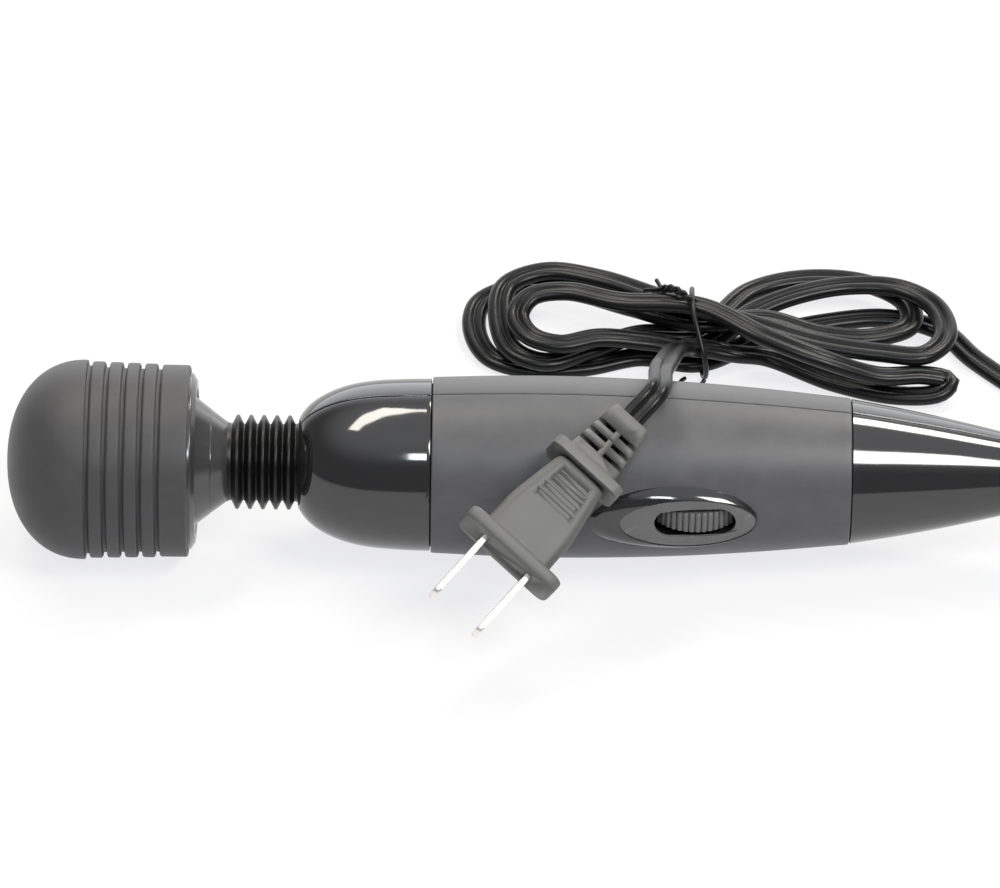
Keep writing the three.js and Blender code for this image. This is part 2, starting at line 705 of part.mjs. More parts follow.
/** The gloss oval surround: a bulge that dips to the plate, and a short sleeve through the shell. */
function switchBezel() {
  const steps = 26;
  const seat = RECESS - 2 * GAP;
  const rings = [];
  for (let i = 0; i < steps; i++) {
    const angle = (i / steps) * 2 * Math.PI;
    const onOval = (centre, length, width) => [
      centre + (length / 2) * Math.cos(angle),
      (width / 2) * Math.sin(angle),
    ];
    const [outX, outY] = onOval(BEZEL_CENTRE, BEZEL_LENGTH, BEZEL_WIDTH);
    const [rimX, rimY] = onOval(PLATE_CENTRE, PLATE_LENGTH, PLATE_WIDTH);
    const [sleeveX, sleeveY] = onOval(PLATE_CENTRE, SLEEVE_LENGTH, SLEEVE_WIDTH);
    const [boreX, boreY] = onOval(PLATE_CENTRE, SLEEVE_LENGTH - 2, SLEEVE_WIDTH - 2);
    const crest = (surfaceHeight(outX, outY, 0) + rimHeight(rimX)) / 2 + 0.5;
    rings.push([
      [outX, outY, surfaceHeight(outX, outY, seat)],
      [outX, outY, surfaceHeight(outX, outY, 0) + 0.15],
      [(outX + rimX) / 2, (outY + rimY) / 2, crest],
      [rimX, rimY, rimHeight(rimX)],
      [rimX, rimY, rimHeight(rimX) - PLATE_SEAT],
      [boreX, boreY, rimHeight(boreX) - PLATE_SEAT],
      [boreX, boreY, SLEEVE_BOTTOM],
      [sleeveX, sleeveY, SLEEVE_BOTTOM],
      [sleeveX, sleeveY, surfaceHeight(sleeveX, sleeveY, seat)],
    ]);
  }
  const size = rings[0].length;
  const faces = [];
  rings.forEach((_, i) => {
    const here = i * size;
    const next = ((i + 1) % steps) * size;
    for (let j = 0; j < size; j++) {
      const up = (j + 1) % size;
      faces.push(here + j, next + j, next + up, here + j, next + up, here + up);
    }
  });
  const geometry = new THREE.BufferGeometry();
  geometry.setAttribute("position", new THREE.Float32BufferAttribute(rings.flat(2), 3));
  geometry.setIndex(faces);
  return geometry;
}

/** The flat satin plate inside the bezel, sloped as its rim is. */
function dialPlate() {
  const margin = 3 * GAP;
  const low = PLATE_HEIGHT - PLATE_SEAT + GAP;
  const face = oval(0, PLATE_LENGTH - margin, PLATE_WIDTH - margin, low, low + 0.6, ROUND);
  const slot = slotPrism(SLOT_LENGTH, SLOT_WIDTH, low - 1, low + 2).translate(-PLATE_CENTRE, 0, 0);
  const slope = new THREE.Matrix4().makeShear(0, -PLATE_SLOPE, 0, 0, 0, 0);
  return cut(face, slot).applyMatrix4(slope).translate(PLATE_CENTRE, 0, 0);
}

/** The ribbed thumb wheel, bored for the potentiometer's spindle. */
function speedDial() {
  const shape = new THREE.Shape();
  const ribHeight = 0.35;
  const points = [];
  for (let i = 0; i < DIAL_RIBS; i++) {
    const angle = (i / DIAL_RIBS) * 2 * Math.PI;
    const half = Math.PI / DIAL_RIBS;
    const low = DIAL_RADIUS - ribHeight;
    points.push(point(DIAL_RADIUS * Math.cos(angle), DIAL_RADIUS * Math.sin(angle)));
    points.push(point(low * Math.cos(angle + half), low * Math.sin(angle + half)));
  }
  shape.setFromPoints(points);
  shape.holes.push(new THREE.Path().absarc(0, 0, 1.65, 0, 2 * Math.PI));
  return plate(shape, DIAL_WIDTH, 8)
    .rotateX(Math.PI / 2)
    .translate(DIAL_X, DIAL_WIDTH / 2, DIAL_CENTRE_HEIGHT);
}

const BOARD_TOP = -5.2;

/** The potentiometer that the wheel turns, beside it on the board. Its spindle is the wheel's axle. */
function potentiometer() {
  const shape = new THREE.Shape();
  const radius = 5;
  shape.absarc(0, 0, radius, 0, Math.PI);
  shape.lineTo(-radius, BOARD_TOP + GAP - DIAL_CENTRE_HEIGHT);
  shape.lineTo(radius, BOARD_TOP + GAP - DIAL_CENTRE_HEIGHT);
  const side = DIAL_WIDTH / 2 + 0.4;
  const body = plate(shape, 3.4, 8).rotateX(Math.PI / 2).translate(DIAL_X, side + 3.4, DIAL_CENTRE_HEIGHT);
  const length = DIAL_WIDTH + 1.6;
  const spindle = new THREE.CylinderGeometry(1.5, 1.5, length, SMALL_ROUND);
  spindle.translate(DIAL_X, side + 0.4 - length / 2, DIAL_CENTRE_HEIGHT);
  return join(body, spindle);
}

function buildSwitch() {
  return [
    node("switch_bezel", switchBezel(), GLOSS_BLACK),
    node("dial_plate", dialPlate(), SATIN_GREY),
    node("speed_dial", speedDial(), DARK_PLASTIC),
    node("speed_potentiometer", potentiometer(), DARK_PLASTIC),
  ];
}

// ---------------------------------------------------------------- electronics

const BOARD_THICKNESS = 1.6;
const LEAD_RADIUS = 0.6;

function buildElectronics() {
  const board = block([130, -11, BOARD_TOP - BOARD_THICKNESS], [184, 11, BOARD_TOP]);
  const seat = BOARD_TOP + GAP;
  const pad = seat + 0.75;
  const lead = (points) => wire(points, LEAD_RADIUS);
  const capacitor = pin(174, 4, seat, seat + 9, 4, ROUND);
  const triac = block([133, -5, seat], [137.5, 5, seat + 12]);
  const heatSink = block([137.7, -7, seat], [139.2, 7, seat + 13]);
  const fuse = bar(168, 180, 1.6).translate(0, -6, seat + 1.8);
  const choke = cut(pin(144.5, -6.5, seat, seat + 4, 3.6), pin(144.5, -6.5, seat - 1, seat + 6, 1.4));
  const redLead = lead([[119, 5, 9], [124, 4, 6], [130, 8, 0], [134, 9, pad]]);
  const blackLead = lead([[119, -5, 9], [124, -4, 6], [130, -8, 0], [134, -9, pad]]);
  const liveLead = lead([[181.5, 3, pad], [188, 3, -1], [196, 1, 1], [204, 0, CORE_RADIUS]]);
  const neutralLead = lead([[182.5, -3, pad], [188, -3, -2], [196, -1, -1.4], [204, 0, -CORE_RADIUS]]);
  return [
    node("control_board", board, BOARD_GREEN),
    node("smoothing_capacitor", capacitor, DARK_PLASTIC),
    node("triac", triac, DARK_PLASTIC),
    node("heat_sink", heatSink, ZINC),
    node("fuse", fuse, WHITE_PLASTIC),
    node("choke", choke, COPPER),
    node("motor_lead_red", redLead, LEAD_RED),
    node("motor_lead_black", blackLead, DARK_PLASTIC),
    node("mains_lead_live", liveLead, DARK_PLASTIC),
    node("mains_lead_neutral", neutralLead, WHITE_PLASTIC),
  ];
}

// ---------------------------------------------------------------- tail and cord anchor

const TAIL_BOOT_END = 253;
const CORD_AXIS_END = 206;

/** The rubber sleeve where the cord leaves the handle. Its collar sits inside the shells. */
function cordBoot() {
  const collarFront = HANDLE_END - 5.2;
  const collarRear = HANDLE_END - 2.5 - GAP;
  const neck = BOOT_HOLE_RADIUS - GAP;
  return turned([
    [collarFront, 3.2],
    [collarFront, neck + 1.1],
    [collarRear, neck + 1.1],
    [collarRear, neck],
    [HANDLE_END + GAP, neck],
    [HANDLE_END + GAP, 5],
    [TAIL_BOOT_END, 3.9],
    [TAIL_BOOT_END, 3.2],
  ]);
}

const CLAMP_X = 214;
const CLAMP_THICKNESS = 2;
const CLAMP_SCREW_SPREAD = 4.6;
const CLAMP_SCREW_RADIUS = 0.8;

/** One of the two bars that grip the flat of the cord inside the tail. */
function cordClamp(side) {
  const inner = CORE_RADIUS + GAP;
  const outer = inner + CLAMP_THICKNESS;
  const solidBar = block([CLAMP_X - 3, -6.4, inner], [CLAMP_X + 3, 6.4, outer]);
  const hole = CLAMP_SCREW_RADIUS + GAP;
  const bore = (end) => pin(CLAMP_X, end * CLAMP_SCREW_SPREAD, inner - 1, outer + 1, hole, 8);
  return cut(solidBar, bore(-1), bore(1)).rotateX((side * Math.PI) / 2);
}

function clampScrew(side) {
  const head = CORE_RADIUS + CLAMP_THICKNESS + 2 * GAP;
  const y = side * CLAMP_SCREW_SPREAD;
  const shank = pin(CLAMP_X, y, -head, head + 0.4, CLAMP_SCREW_RADIUS, 8);
  return join(shank, pin(CLAMP_X, y, head, head + 1, 1.7, 8)).rotateX(Math.PI / 2);
}

function buildTail() {
  return [
    node("cord_boot", cordBoot(), BLACK_RUBBER),
    node("cord_clamp_bar", cordClamp(1), DARK_PLASTIC),
    node("cord_clamp_base", cordClamp(-1), DARK_PLASTIC),
    node("clamp_screw_left", clampScrew(-1), STEEL),
    node("clamp_screw_right", clampScrew(1), STEEL),
  ];
}

// ---------------------------------------------------------------- plug

/** A straight-sided solid along X whose size changes evenly between its ends, with bevelled edges. */
function tapered(start, end, widths, thicknesses, bevel) {
  const rings = [start, end].map((x, i) => {
    const w = widths[i] / 2;
    const t = thicknesses[i] / 2;
    const corners = [
      [w - bevel, -t],
      [w, -t + bevel],
      [w, t - bevel],
      [w - bevel, t],
      [-w + bevel, t],
      [-w, t - bevel],
      [-w, -t + bevel],
      [-w + bevel, -t],
    ];
    return corners.map(([y, z]) => [x, y, z]);
  });
  const count = rings[0].length;
  const positions = [...rings[0], ...rings[1], [start, 0, 0], [end, 0, 0]].flat();
  const faces = [];
  for (let i = 0; i < count; i++) {
    const next = (i + 1) % count;
    faces.push(i, next, count + i, next, count + next, count + i);
    faces.push(2 * count, next, i, 2 * count + 1, count + i, count + next);
  }
  const geometry = new THREE.BufferGeometry();
  geometry.setAttribute("position", new THREE.Float32BufferAttribute(positions, 3));
  geometry.setIndex(faces);
  return geometry;
}

const [FLANGE_WIDE, FLANGE_THICK, FLANGE_LONG] = PLUG_FLANGE;
const BODY_END = FLANGE_LONG + PLUG_BODY_LENGTH;
const REAR_START = BODY_END + 2 * GAP;
const REAR_END = REAR_START + REAR_FLANGE[2];
const BOOT_END = REAR_END + BOOT_LENGTH;

/** A box that a blade, or its pocket if grown, fills. */
function bladeBlock(side, grow) {
  const y = (side * BLADE_SPACING) / 2;
  const halfThick = BLADE_THICKNESS / 2 + grow;
  const halfWide = BLADE_WIDTH / 2 + grow;
  return block([-BLADE_ROOT - grow, y - halfThick, -halfWide], [BLADE_LENGTH, y + halfThick, halfWide]);
}

function plugBody() {
  const widths = [PLUG_BODY_WIDTH[1], PLUG_BODY_WIDTH[0]];
  const grip = tapered(-BODY_END, -FLANGE_LONG + 0.5, widths, [PLUG_THICKNESS - 1, PLUG_THICKNESS], 1.6);
  const flange = tapered(-FLANGE_LONG, 0, [FLANGE_WIDE, FLANGE_WIDE], [FLANGE_THICK, FLANGE_THICK], 3.2);
  return cut(join(grip, flange), bladeBlock(-1, GAP), bladeBlock(1, GAP));
}

/** The strain relief: a flange, and a tapered boot with three rows of slots, bored through for the cord. */
function plugBoot() {
  const [wide, thick] = REAR_FLANGE;
  const flange = tapered(-REAR_END, -REAR_START, [wide, wide], [thick, thick], 2);
  const widths = [BOOT_WIDTH[1], BOOT_WIDTH[0]];
  const boot = tapered(-BOOT_END, -REAR_END + 0.5, widths, [BOOT_THICKNESS - 1, BOOT_THICKNESS], 1);
  const slots = [];
  for (let row = 0; row < 3; row++) {
    const x = -REAR_END - 3.2 - row * 2.85;
    for (const side of [-1, 1]) {
      slots.push(block([x - 0.5, side > 0 ? 1 : -9, -9], [x + 0.5, side > 0 ? 9 : -1, -2.4]));
      slots.push(block([x - 0.5, side > 0 ? 1 : -9, 2.4], [x + 0.5, side > 0 ? 9 : -1, 9]));
    }
  }
  const bore = block([-BOOT_END - 1, -3.3, -1.9], [-REAR_START + 1, 3.3, 1.9]);
  return cut(join(flange, boot), bore, ...slots);
}

function buildPlug() {
  const plug = new THREE.Group();
  plug.position.copy(PLUG_FACE);
  plug.rotation.set(PLUG_LEAN, PLUG_DROP, PLUG_HEADING, "ZYX");
  plug.add(
    node("plug_body", plugBody(), PLUG_GREY),
    node("plug_boot", plugBoot(), PLUG_GREY),
    node("plug_blade_left", bladeBlock(-1, 0), NICKEL),
    node("plug_blade_right", bladeBlock(1, 0), NICKEL),
  );
  return plug;
}

// ---------------------------------------------------------------- cord

/** Outline round the two cores side by side. */
function cordSection() {
  const r = CORE_RADIUS;
  return new THREE.Shape([
    point(2 * r, 0),
    point(1.4 * r, r),
    point(-1.4 * r, r),
    point(-2 * r, 0),
    point(-1.4 * r, -r),
    point(1.4 * r, -r),
  ]);
}

/** A cord's path, which keeps the flat of the cord level until it turns to match the plug. */
class CordPath extends THREE.CatmullRomCurve3 {
  computeFrenetFrames(segments) {
    const frames = { tangents: [], normals: [], binormals: [] };
    for (let i = 0; i <= segments; i++) {
      const along = i / segments;
      const turn = THREE.MathUtils.smoothstep(along, TURN_START, 1 - PLUG_STRAIGHT);
      const up = UP.clone().lerp(PLUG_UP, turn);
      const tangent = this.getTangentAt(along);
      const normal = new THREE.Vector3().crossVectors(up, tangent).normalize();
      frames.tangents.push(tangent);
      frames.normals.push(normal);
      frames.binormals.push(new THREE.Vector3().crossVectors(tangent, normal));
    }
    return frames;
  }
}

const TURN_START = 0.92; // share of the cord's length at which it begins to turn
const PLUG_STRAIGHT = 0.015; // share of it that is straight, inside the plug
const PLUG_TURN = new THREE.Euler(PLUG_LEAN, PLUG_DROP, PLUG_HEADING, "ZYX");
const PLUG_UP = UP.clone().applyEuler(PLUG_TURN);

// The cord's course from the tail to the plug, as distances right of the tie, behind the hank's middle
// and up from the table. Each strand of the hank crosses under the tie, so it lies in a figure of eight.
const TAIL_LEAD = [
  [65.4, -72, 22.4], [81.4, -72, 22.4], [93.4, -72, 22.4], [100.4, -72, 22.4], [110.5, -67, 18.5],
  [113, -54, 9.5], [101, -35, 2.5], [82, -20, 1.5], [64, -1, 1.5], [56, 10.5, 1.5], [44, 15, 1.5],
  [30, 13, 1.5], [15, 7, 1.5],
];
const OUTER_LEFT_LOOP = [
  [-0.5, -5.5, 2.8], [-14, -2, 1.7], [-27, -6, 1.5], [-40, -7, 1.5], [-48.5, -3.5, 2], [-52.5, 7, 2.5],
  [-51, 16, 3.5], [-43.5, 20, 4.8], [-32, 18.5, 6], [-16, 9.5, 7.5],
];
const FAR_RIGHT_LOOP = [
  [-0.5, 1.5, 9], [15, 4.5, 8.4], [28, 2.5, 5.8], [39.5, 2.5, 5], [48.5, 7.5, 4.8], [48, 17, 4.8],
  [38, 24.5, 4.8], [24, 25.5, 4.8], [12, 20.5, 4.7],
];
const TALL_LEFT_LOOP = [
  [-0.5, 4, 4.8], [-14, 3, 4.6], [-26, -4, 4.8], [-36, -9, 5], [-43.5, -5.5, 5.7], [-46.5, 4.5, 7],
  [-45, 16, 8.5], [-36, 20.5, 9.5], [-23.5, 17, 10.2], [-10.5, 9, 11.2],
];
const MIDDLE_RIGHT_LOOP = [
  [-0.5, 2.5, 12.4], [14.5, -3.5, 11.8], [27.5, -6.5, 9.7], [41.5, -8.5, 8.8], [51.5, -9, 8.7],
  [56.5, -2, 8.7], [54.5, 10, 8.7], [46.5, 17, 8.7], [35, 18, 8.6], [23, 14.5, 8.4], [12.5, 9.5, 6.9],
];
const INNER_LEFT_LOOP = [
  [-0.5, -3.4, 5.8], [-12, -3.5, 7.3], [-23.5, -4.5, 8.9], [-32.5, -7.5, 9.1], [-39.5, -5, 9.5],
  [-42.5, 1.5, 10.5], [-39.5, 6.5, 12.3], [-31.5, 7.5, 13.3], [-19, 2.5, 14.3],
];
const NEAR_RIGHT_LOOP = [
  [-0.5, -1, 15.8], [14, -11, 15], [27, -15.5, 12.3], [41, -15, 7], [51.5, -13, 5.9], [57, -13.5, 4.7],
  [55, -16, 3.2], [46, -16, 2.1], [31.5, -11.5, 2.1], [16, -5, 4.2],
];
const PLUG_LEAD = [
  [8, -7.4, 7], [1.5, -8.4, 9], [-3.2, -10.5, 10.7], [-5.4, -14.8, 13.5], [-6.4, -21.5, 18],
  [-7.6, -34, 26], [-9, -51, 36.5], [-10.4, -66.5, 45.5],
];

/** A point on the plug's axis, some distance behind its face. */
function behindPlug(distance) {
  const place = new THREE.Vector3(-distance, 0, 0).applyEuler(PLUG_TURN).add(PLUG_FACE);
  return place.toArray();
}

/** Points along the cord, from its clamp inside the tail to its end inside the plug. */
function cordPoints() {
  const strands = [
    TAIL_LEAD,
    OUTER_LEFT_LOOP,
    FAR_RIGHT_LOOP,
    TALL_LEFT_LOOP,
    MIDDLE_RIGHT_LOOP,
    INNER_LEFT_LOOP,
    NEAR_RIGHT_LOOP,
    PLUG_LEAD,
  ];
  return [
    [CORD_AXIS_END, 0, HEAD_RADIUS],
    ...strands.flat().map(([right, behind, up]) => [HANK_X + right, HANK_Y + behind, up]),
    behindPlug(BOOT_END + 9),
    behindPlug(BOOT_END),
    behindPlug(REAR_END + 4),
  ];
}

function powerCord() {
  const path = new CordPath(cordPoints().map((p) => new THREE.Vector3(...p)));
  return new THREE.ExtrudeGeometry(cordSection(), { extrudePath: path, steps: CORD_STEPS });
}

/** The wire tie: a loose band round the middle of the hank, with its two ends twisted together on top. */
function wireTie() {
  const onHank = ([right, behind, up]) => [HANK_X + right, HANK_Y + behind, up];
  const corners = [
    [1.2, -13.4, 6.5],
    [0.9, -10.6, 2.4],
    [0.3, -5.5, 0.55],
    [-0.3, 1, 0.55],
    [-1, 6.6, 1.9],
    [-1.5, 8.4, 5.8],
    [-2, 7.8, 12],
    [-2.2, 5.2, 16.2],
    [-2.3, -0.5, 18.2],
    [-1.8, -5.6, 17],
    [-0.6, -9.8, 13.8],
    [0.6, -12.9, 10.4],
  ];
  const course = corners.map((corner) => new THREE.Vector3(...onHank(corner)));
  const loop = new THREE.CatmullRomCurve3(course, true);
  const band = new THREE.TubeGeometry(loop, 40, TIE_RADIUS, 7, true);
  const twist = [
    [-2.2, -3, 18],
    [-4.3, -1, 19.3],
    [-7, 1.9, 18.7],
    [-10.4, 5, 15.5],
  ];
  const ends = wire(twist.map(onHank), 0.7, 5);
  return join(band, ends);
}

// ---------------------------------------------------------------- assembly

const wand = new THREE.Group();
wand.rotation.x = WAND_ROLL;
wand.position.z = HEAD_RADIUS;
wand.add(
  ...buildHead(),
  ...buildNeck(),
  ...buildMotor(),
  ...buildHandle(),
  ...buildSwitch(),
  ...buildElectronics(),
  ...buildTail(),
);

const scene = new THREE.Group();
scene.add(wand, buildPlug());
scene.add(node("power_cord", powerCord(), CORD_BLACK), node("cord_tie", wireTie(), BLACK_RUBBER));

const box = new THREE.Box3().setFromObject(scene, true);
scene.position.set(-(box.min.x + box.max.x) / 2, -(box.min.y + box.max.y) / 2, -box.min.z);

const part = new THREE.Group();
part.add(scene);
export default part;
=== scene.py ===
"""A corded wand massager on a white table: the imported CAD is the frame, and every outer piece gets its finished
shape and material here. Lengths in the helpers are millimetres from the head's tip along the wand."""

import json
import math

import bmesh
import bpy
import numpy as np
from mathutils import Matrix, Vector


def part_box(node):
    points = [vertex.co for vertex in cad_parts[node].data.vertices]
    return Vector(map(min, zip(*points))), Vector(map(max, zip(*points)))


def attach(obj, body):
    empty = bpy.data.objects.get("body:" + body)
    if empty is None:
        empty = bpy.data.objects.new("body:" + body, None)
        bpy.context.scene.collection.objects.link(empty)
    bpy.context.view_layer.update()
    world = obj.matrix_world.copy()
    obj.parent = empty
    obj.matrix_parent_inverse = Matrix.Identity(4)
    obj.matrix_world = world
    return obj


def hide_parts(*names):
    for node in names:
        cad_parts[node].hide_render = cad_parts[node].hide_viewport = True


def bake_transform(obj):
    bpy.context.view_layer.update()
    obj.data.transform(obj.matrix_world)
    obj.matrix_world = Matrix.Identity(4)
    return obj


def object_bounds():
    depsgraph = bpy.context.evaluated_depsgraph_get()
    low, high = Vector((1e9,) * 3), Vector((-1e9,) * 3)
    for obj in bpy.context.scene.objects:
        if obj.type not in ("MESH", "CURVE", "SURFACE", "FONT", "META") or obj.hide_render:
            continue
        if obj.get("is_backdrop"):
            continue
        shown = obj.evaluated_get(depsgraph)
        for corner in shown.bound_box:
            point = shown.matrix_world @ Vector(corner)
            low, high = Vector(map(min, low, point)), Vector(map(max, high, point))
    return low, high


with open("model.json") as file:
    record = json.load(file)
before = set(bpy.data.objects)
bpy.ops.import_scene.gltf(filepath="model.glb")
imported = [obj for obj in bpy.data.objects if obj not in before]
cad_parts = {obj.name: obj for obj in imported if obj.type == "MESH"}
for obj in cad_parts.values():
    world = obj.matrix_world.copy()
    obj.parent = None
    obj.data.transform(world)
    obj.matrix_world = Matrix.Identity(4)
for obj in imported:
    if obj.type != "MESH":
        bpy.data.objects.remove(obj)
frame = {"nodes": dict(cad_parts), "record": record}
cad_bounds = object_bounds()

MM = 0.001
UP = Vector((0, 0, 1))
FULL_TURN = 2 * math.pi

# ---- places, from the frame


def middle(node):
    low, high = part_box(node)
    return (low + high) / 2


HEAD_LOW, HEAD_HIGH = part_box("head_cover")
TIP = HEAD_LOW.x
AXIS_Y = (HEAD_LOW.y + HEAD_HIGH.y) / 2
AXIS_Z = (HEAD_LOW.z + HEAD_HIGH.z) / 2
FLOOR_Z = 0.0


def on_wand(along, radius, angle):
    """A point round the wand. The angle runs from the front, where the switch is, over the top."""
    return Vector((
        TIP + along * MM,
        AXIS_Y - radius * MM * math.cos(angle),
        AXIS_Z + radius * MM * math.sin(angle),
    ))


# ---- mesh helpers

MERGE_WITHIN = 1e-7  # metres
SHARP_DEG = 38


def in_scene(name, data):
    thing = bpy.data.objects.new(name, data)
    bpy.context.scene.collection.objects.link(thing)
    return thing


def new_piece(name, vertices, faces, finish, body=None, replaces=None, slot=None, sharp_deg=SHARP_DEG):
    """A mesh object whose faces all point out. body is what it rides on, and replaces the CAD node that it stands for.
    slot is not used."""
    mesh = bpy.data.meshes.new(name)
    mesh.from_pydata([tuple(v) for v in vertices], [], faces)
    mesh.validate()
    tidy = bmesh.new()
    tidy.from_mesh(mesh)
    bmesh.ops.remove_doubles(tidy, verts=tidy.verts, dist=MERGE_WITHIN)
    bmesh.ops.recalc_face_normals(tidy, faces=tidy.faces)
    tidy.to_mesh(mesh)
    tidy.free()
    mesh.polygons.foreach_set("use_smooth", [True] * len(mesh.polygons))
    mesh.set_sharp_from_angle(angle=math.radians(sharp_deg))
    mesh.materials.append(FINISHES[finish])
    piece = in_scene(name, mesh)
    if body:
        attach(piece, body)
    if replaces:
        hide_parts(replaces)
    return piece


def ring_faces(rings, size, loop=False):
    """Quads that join each ring of size points to the next one, and with loop the last ring to the first."""
    faces = []
    for i in range(rings if loop else rings - 1):
        a = i * size
        b = (i + 1) % rings * size
        faces += [(a + k, a + (k + 1) % size, b + (k + 1) % size, b + k) for k in range(size)]
    return faces


def end_caps(rings, size):
    """The faces that close the first and the last ring."""
    last = (rings - 1) * size
    return [tuple(range(size)), tuple(reversed(range(last, last + size)))]


def round_sections(name, sections, finish, **kwargs):
    """A closed collar on the handle: each section is one cut through it, and the last one joins the first."""
    vertices = [point for section in sections for point in section]
    faces = [(a, d, c, b) for a, b, c, d in ring_faces(len(sections), len(sections[0]), loop=True)]
    return new_piece(name, vertices, faces, finish, "handle", **kwargs)


LONGEST_FILLET = 0.48  # the share of an edge that one rounded corner may take


def fillet(points, steps=6, closed=False):
    """An outline with its corners rounded. Each point is (x, y) or (x, y, radius)."""
    rounded = []
    count = len(points)
    for i, here in enumerate(points):
        ends = not closed and i in (0, count - 1)
        if len(here) < 3 or ends or here[2] <= 0:
            rounded.append((here[0], here[1]))
            continue
        p = Vector(here[:2])
        before = Vector(points[i - 1][:2]) - p
        after = Vector(points[(i + 1) % count][:2]) - p
        turn = before.angle(after)
        room = LONGEST_FILLET * min(before.length, after.length)
        reach = min(here[2] / math.tan(turn / 2), room)
        start = p + before.normalized() * reach
        end = p + after.normalized() * reach
        for k in range(steps + 1):
            t = k / steps
            q = start.lerp(p, t).lerp(p.lerp(end, t), t)
            rounded.append((q.x, q.y))
    return rounded


def lathe(name, profile, finish, segments=128, place=on_wand, **kwargs):
    """Turns a profile of (along, radius) about the wand's axis, or about the axis that place says. A profile that
    starts off the axis closes on itself."""
    vertices = [place(*point, FULL_TURN * k / segments) for point in profile for k in range(segments)]
    faces = ring_faces(len(profile), segments, loop=profile[0][1] > 0)
    return new_piece(name, vertices, faces, finish, **kwargs)


def edge_drop(distance, radius):
    """How far an edge rounded to a radius has fallen at a distance in from it."""
    if distance >= radius:
        return 0
    return radius - math.sqrt(radius ** 2 - (radius - distance) ** 2)


SEAM_HALF = 0.1  # half of the gap between the two shells
SEAM_ROUNDING = 0.35
SEAM_STEPS = [0, 0.03, 0.08, 0.16, 0.28]  # distances from the seam that follow its rounded edge
PLAIN_START = 0.5
SHELL_SEGMENTS = 72


def half_lathe(name, outer, inner, side, finish, **kwargs):
    """Half of a turned shell, on the front (side 1) or back (side -1) of the seam, with rounded seam edges.
    outer and inner are profiles of (along, radius) with as many points, running the same way."""
    typical = max(radius for _, radius in outer)
    near = [distance / typical for distance in SEAM_STEPS]
    plain = np.linspace(PLAIN_START / typical, math.pi - PLAIN_START / typical, SHELL_SEGMENTS)
    turns = near + list(plain) + [math.pi - a for a in reversed(near)]
    loop = list(outer) + list(reversed(inner))
    vertices = []
    for turn in turns:
        for k, (along, radius) in enumerate(loop):
            start = math.asin(min(1, SEAM_HALF / max(radius, 1)))
            angle = start + turn * (math.pi - 2 * start) / math.pi
            arc = min(turn, math.pi - turn) * typical
            fall = edge_drop(arc, SEAM_ROUNDING) if k < len(outer) else 0
            around = angle - math.pi / 2
            if side < 0:
                around += math.pi
            vertices.append(on_wand(along, radius - fall, around))
    row = len(loop)
    faces = ring_faces(len(turns), row)
    for seam in (0, (len(turns) - 1) * row):
        for k in range(len(outer) - 1):
            faces.append((seam + k, seam + k + 1, seam + row - 2 - k, seam + row - 1 - k))
    return new_piece(name, vertices, faces, finish, **kwargs)


def resample(curve, places):
    """Radius of a smooth line through some (along, radius) points, at some places along it."""
    xs = np.array([p[0] for p in curve], float)
    ys = np.array([p[1] for p in curve], float)
    slopes = np.gradient(ys, xs)
    result = []
    for x in places:
        i = int(np.clip(np.searchsorted(xs, x) - 1, 0, len(xs) - 2))
        h = xs[i + 1] - xs[i]
        t = (x - xs[i]) / h
        value = (2 * t ** 3 - 3 * t ** 2 + 1) * ys[i] + (t ** 3 - 2 * t ** 2 + t) * h * slopes[i]
        value += (3 * t ** 2 - 2 * t ** 3) * ys[i + 1] + (t ** 3 - t ** 2) * h * slopes[i + 1]
        result.append(float(value))
    return result


def sweep(name, path, ups, section, finish, closed=False, **kwargs):
    """Carries a flat section along a path of points. ups gives the section's second axis at each point."""
    path = np.array(path, float)
    count = len(path)
    ahead = np.roll(path, -1, 0) - path
    behind = path - np.roll(path, 1, 0)
    tangents = ahead + behind
    if not closed:
        tangents[0] = ahead[0]
        tangents[-1] = behind[-1]
    tangents /= np.linalg.norm(tangents, axis=1)[:, None]
    across = np.cross(np.array(ups, float), tangents)
    across /= np.linalg.norm(across, axis=1)[:, None]
    over = np.cross(tangents, across)
    vertices = []
    for p, a, o in zip(path, across, over):
        vertices += [p + a * x + o * y for x, y in section]
    faces = ring_faces(count, len(section), closed)
    if not closed:
        faces += end_caps(count, len(section))
    return new_piece(name, vertices, faces, finish, **kwargs)


CURVE_SAMPLES = 24  # between two neighbouring points of a curve, before it is spaced evenly
FEWEST_POINTS = 8


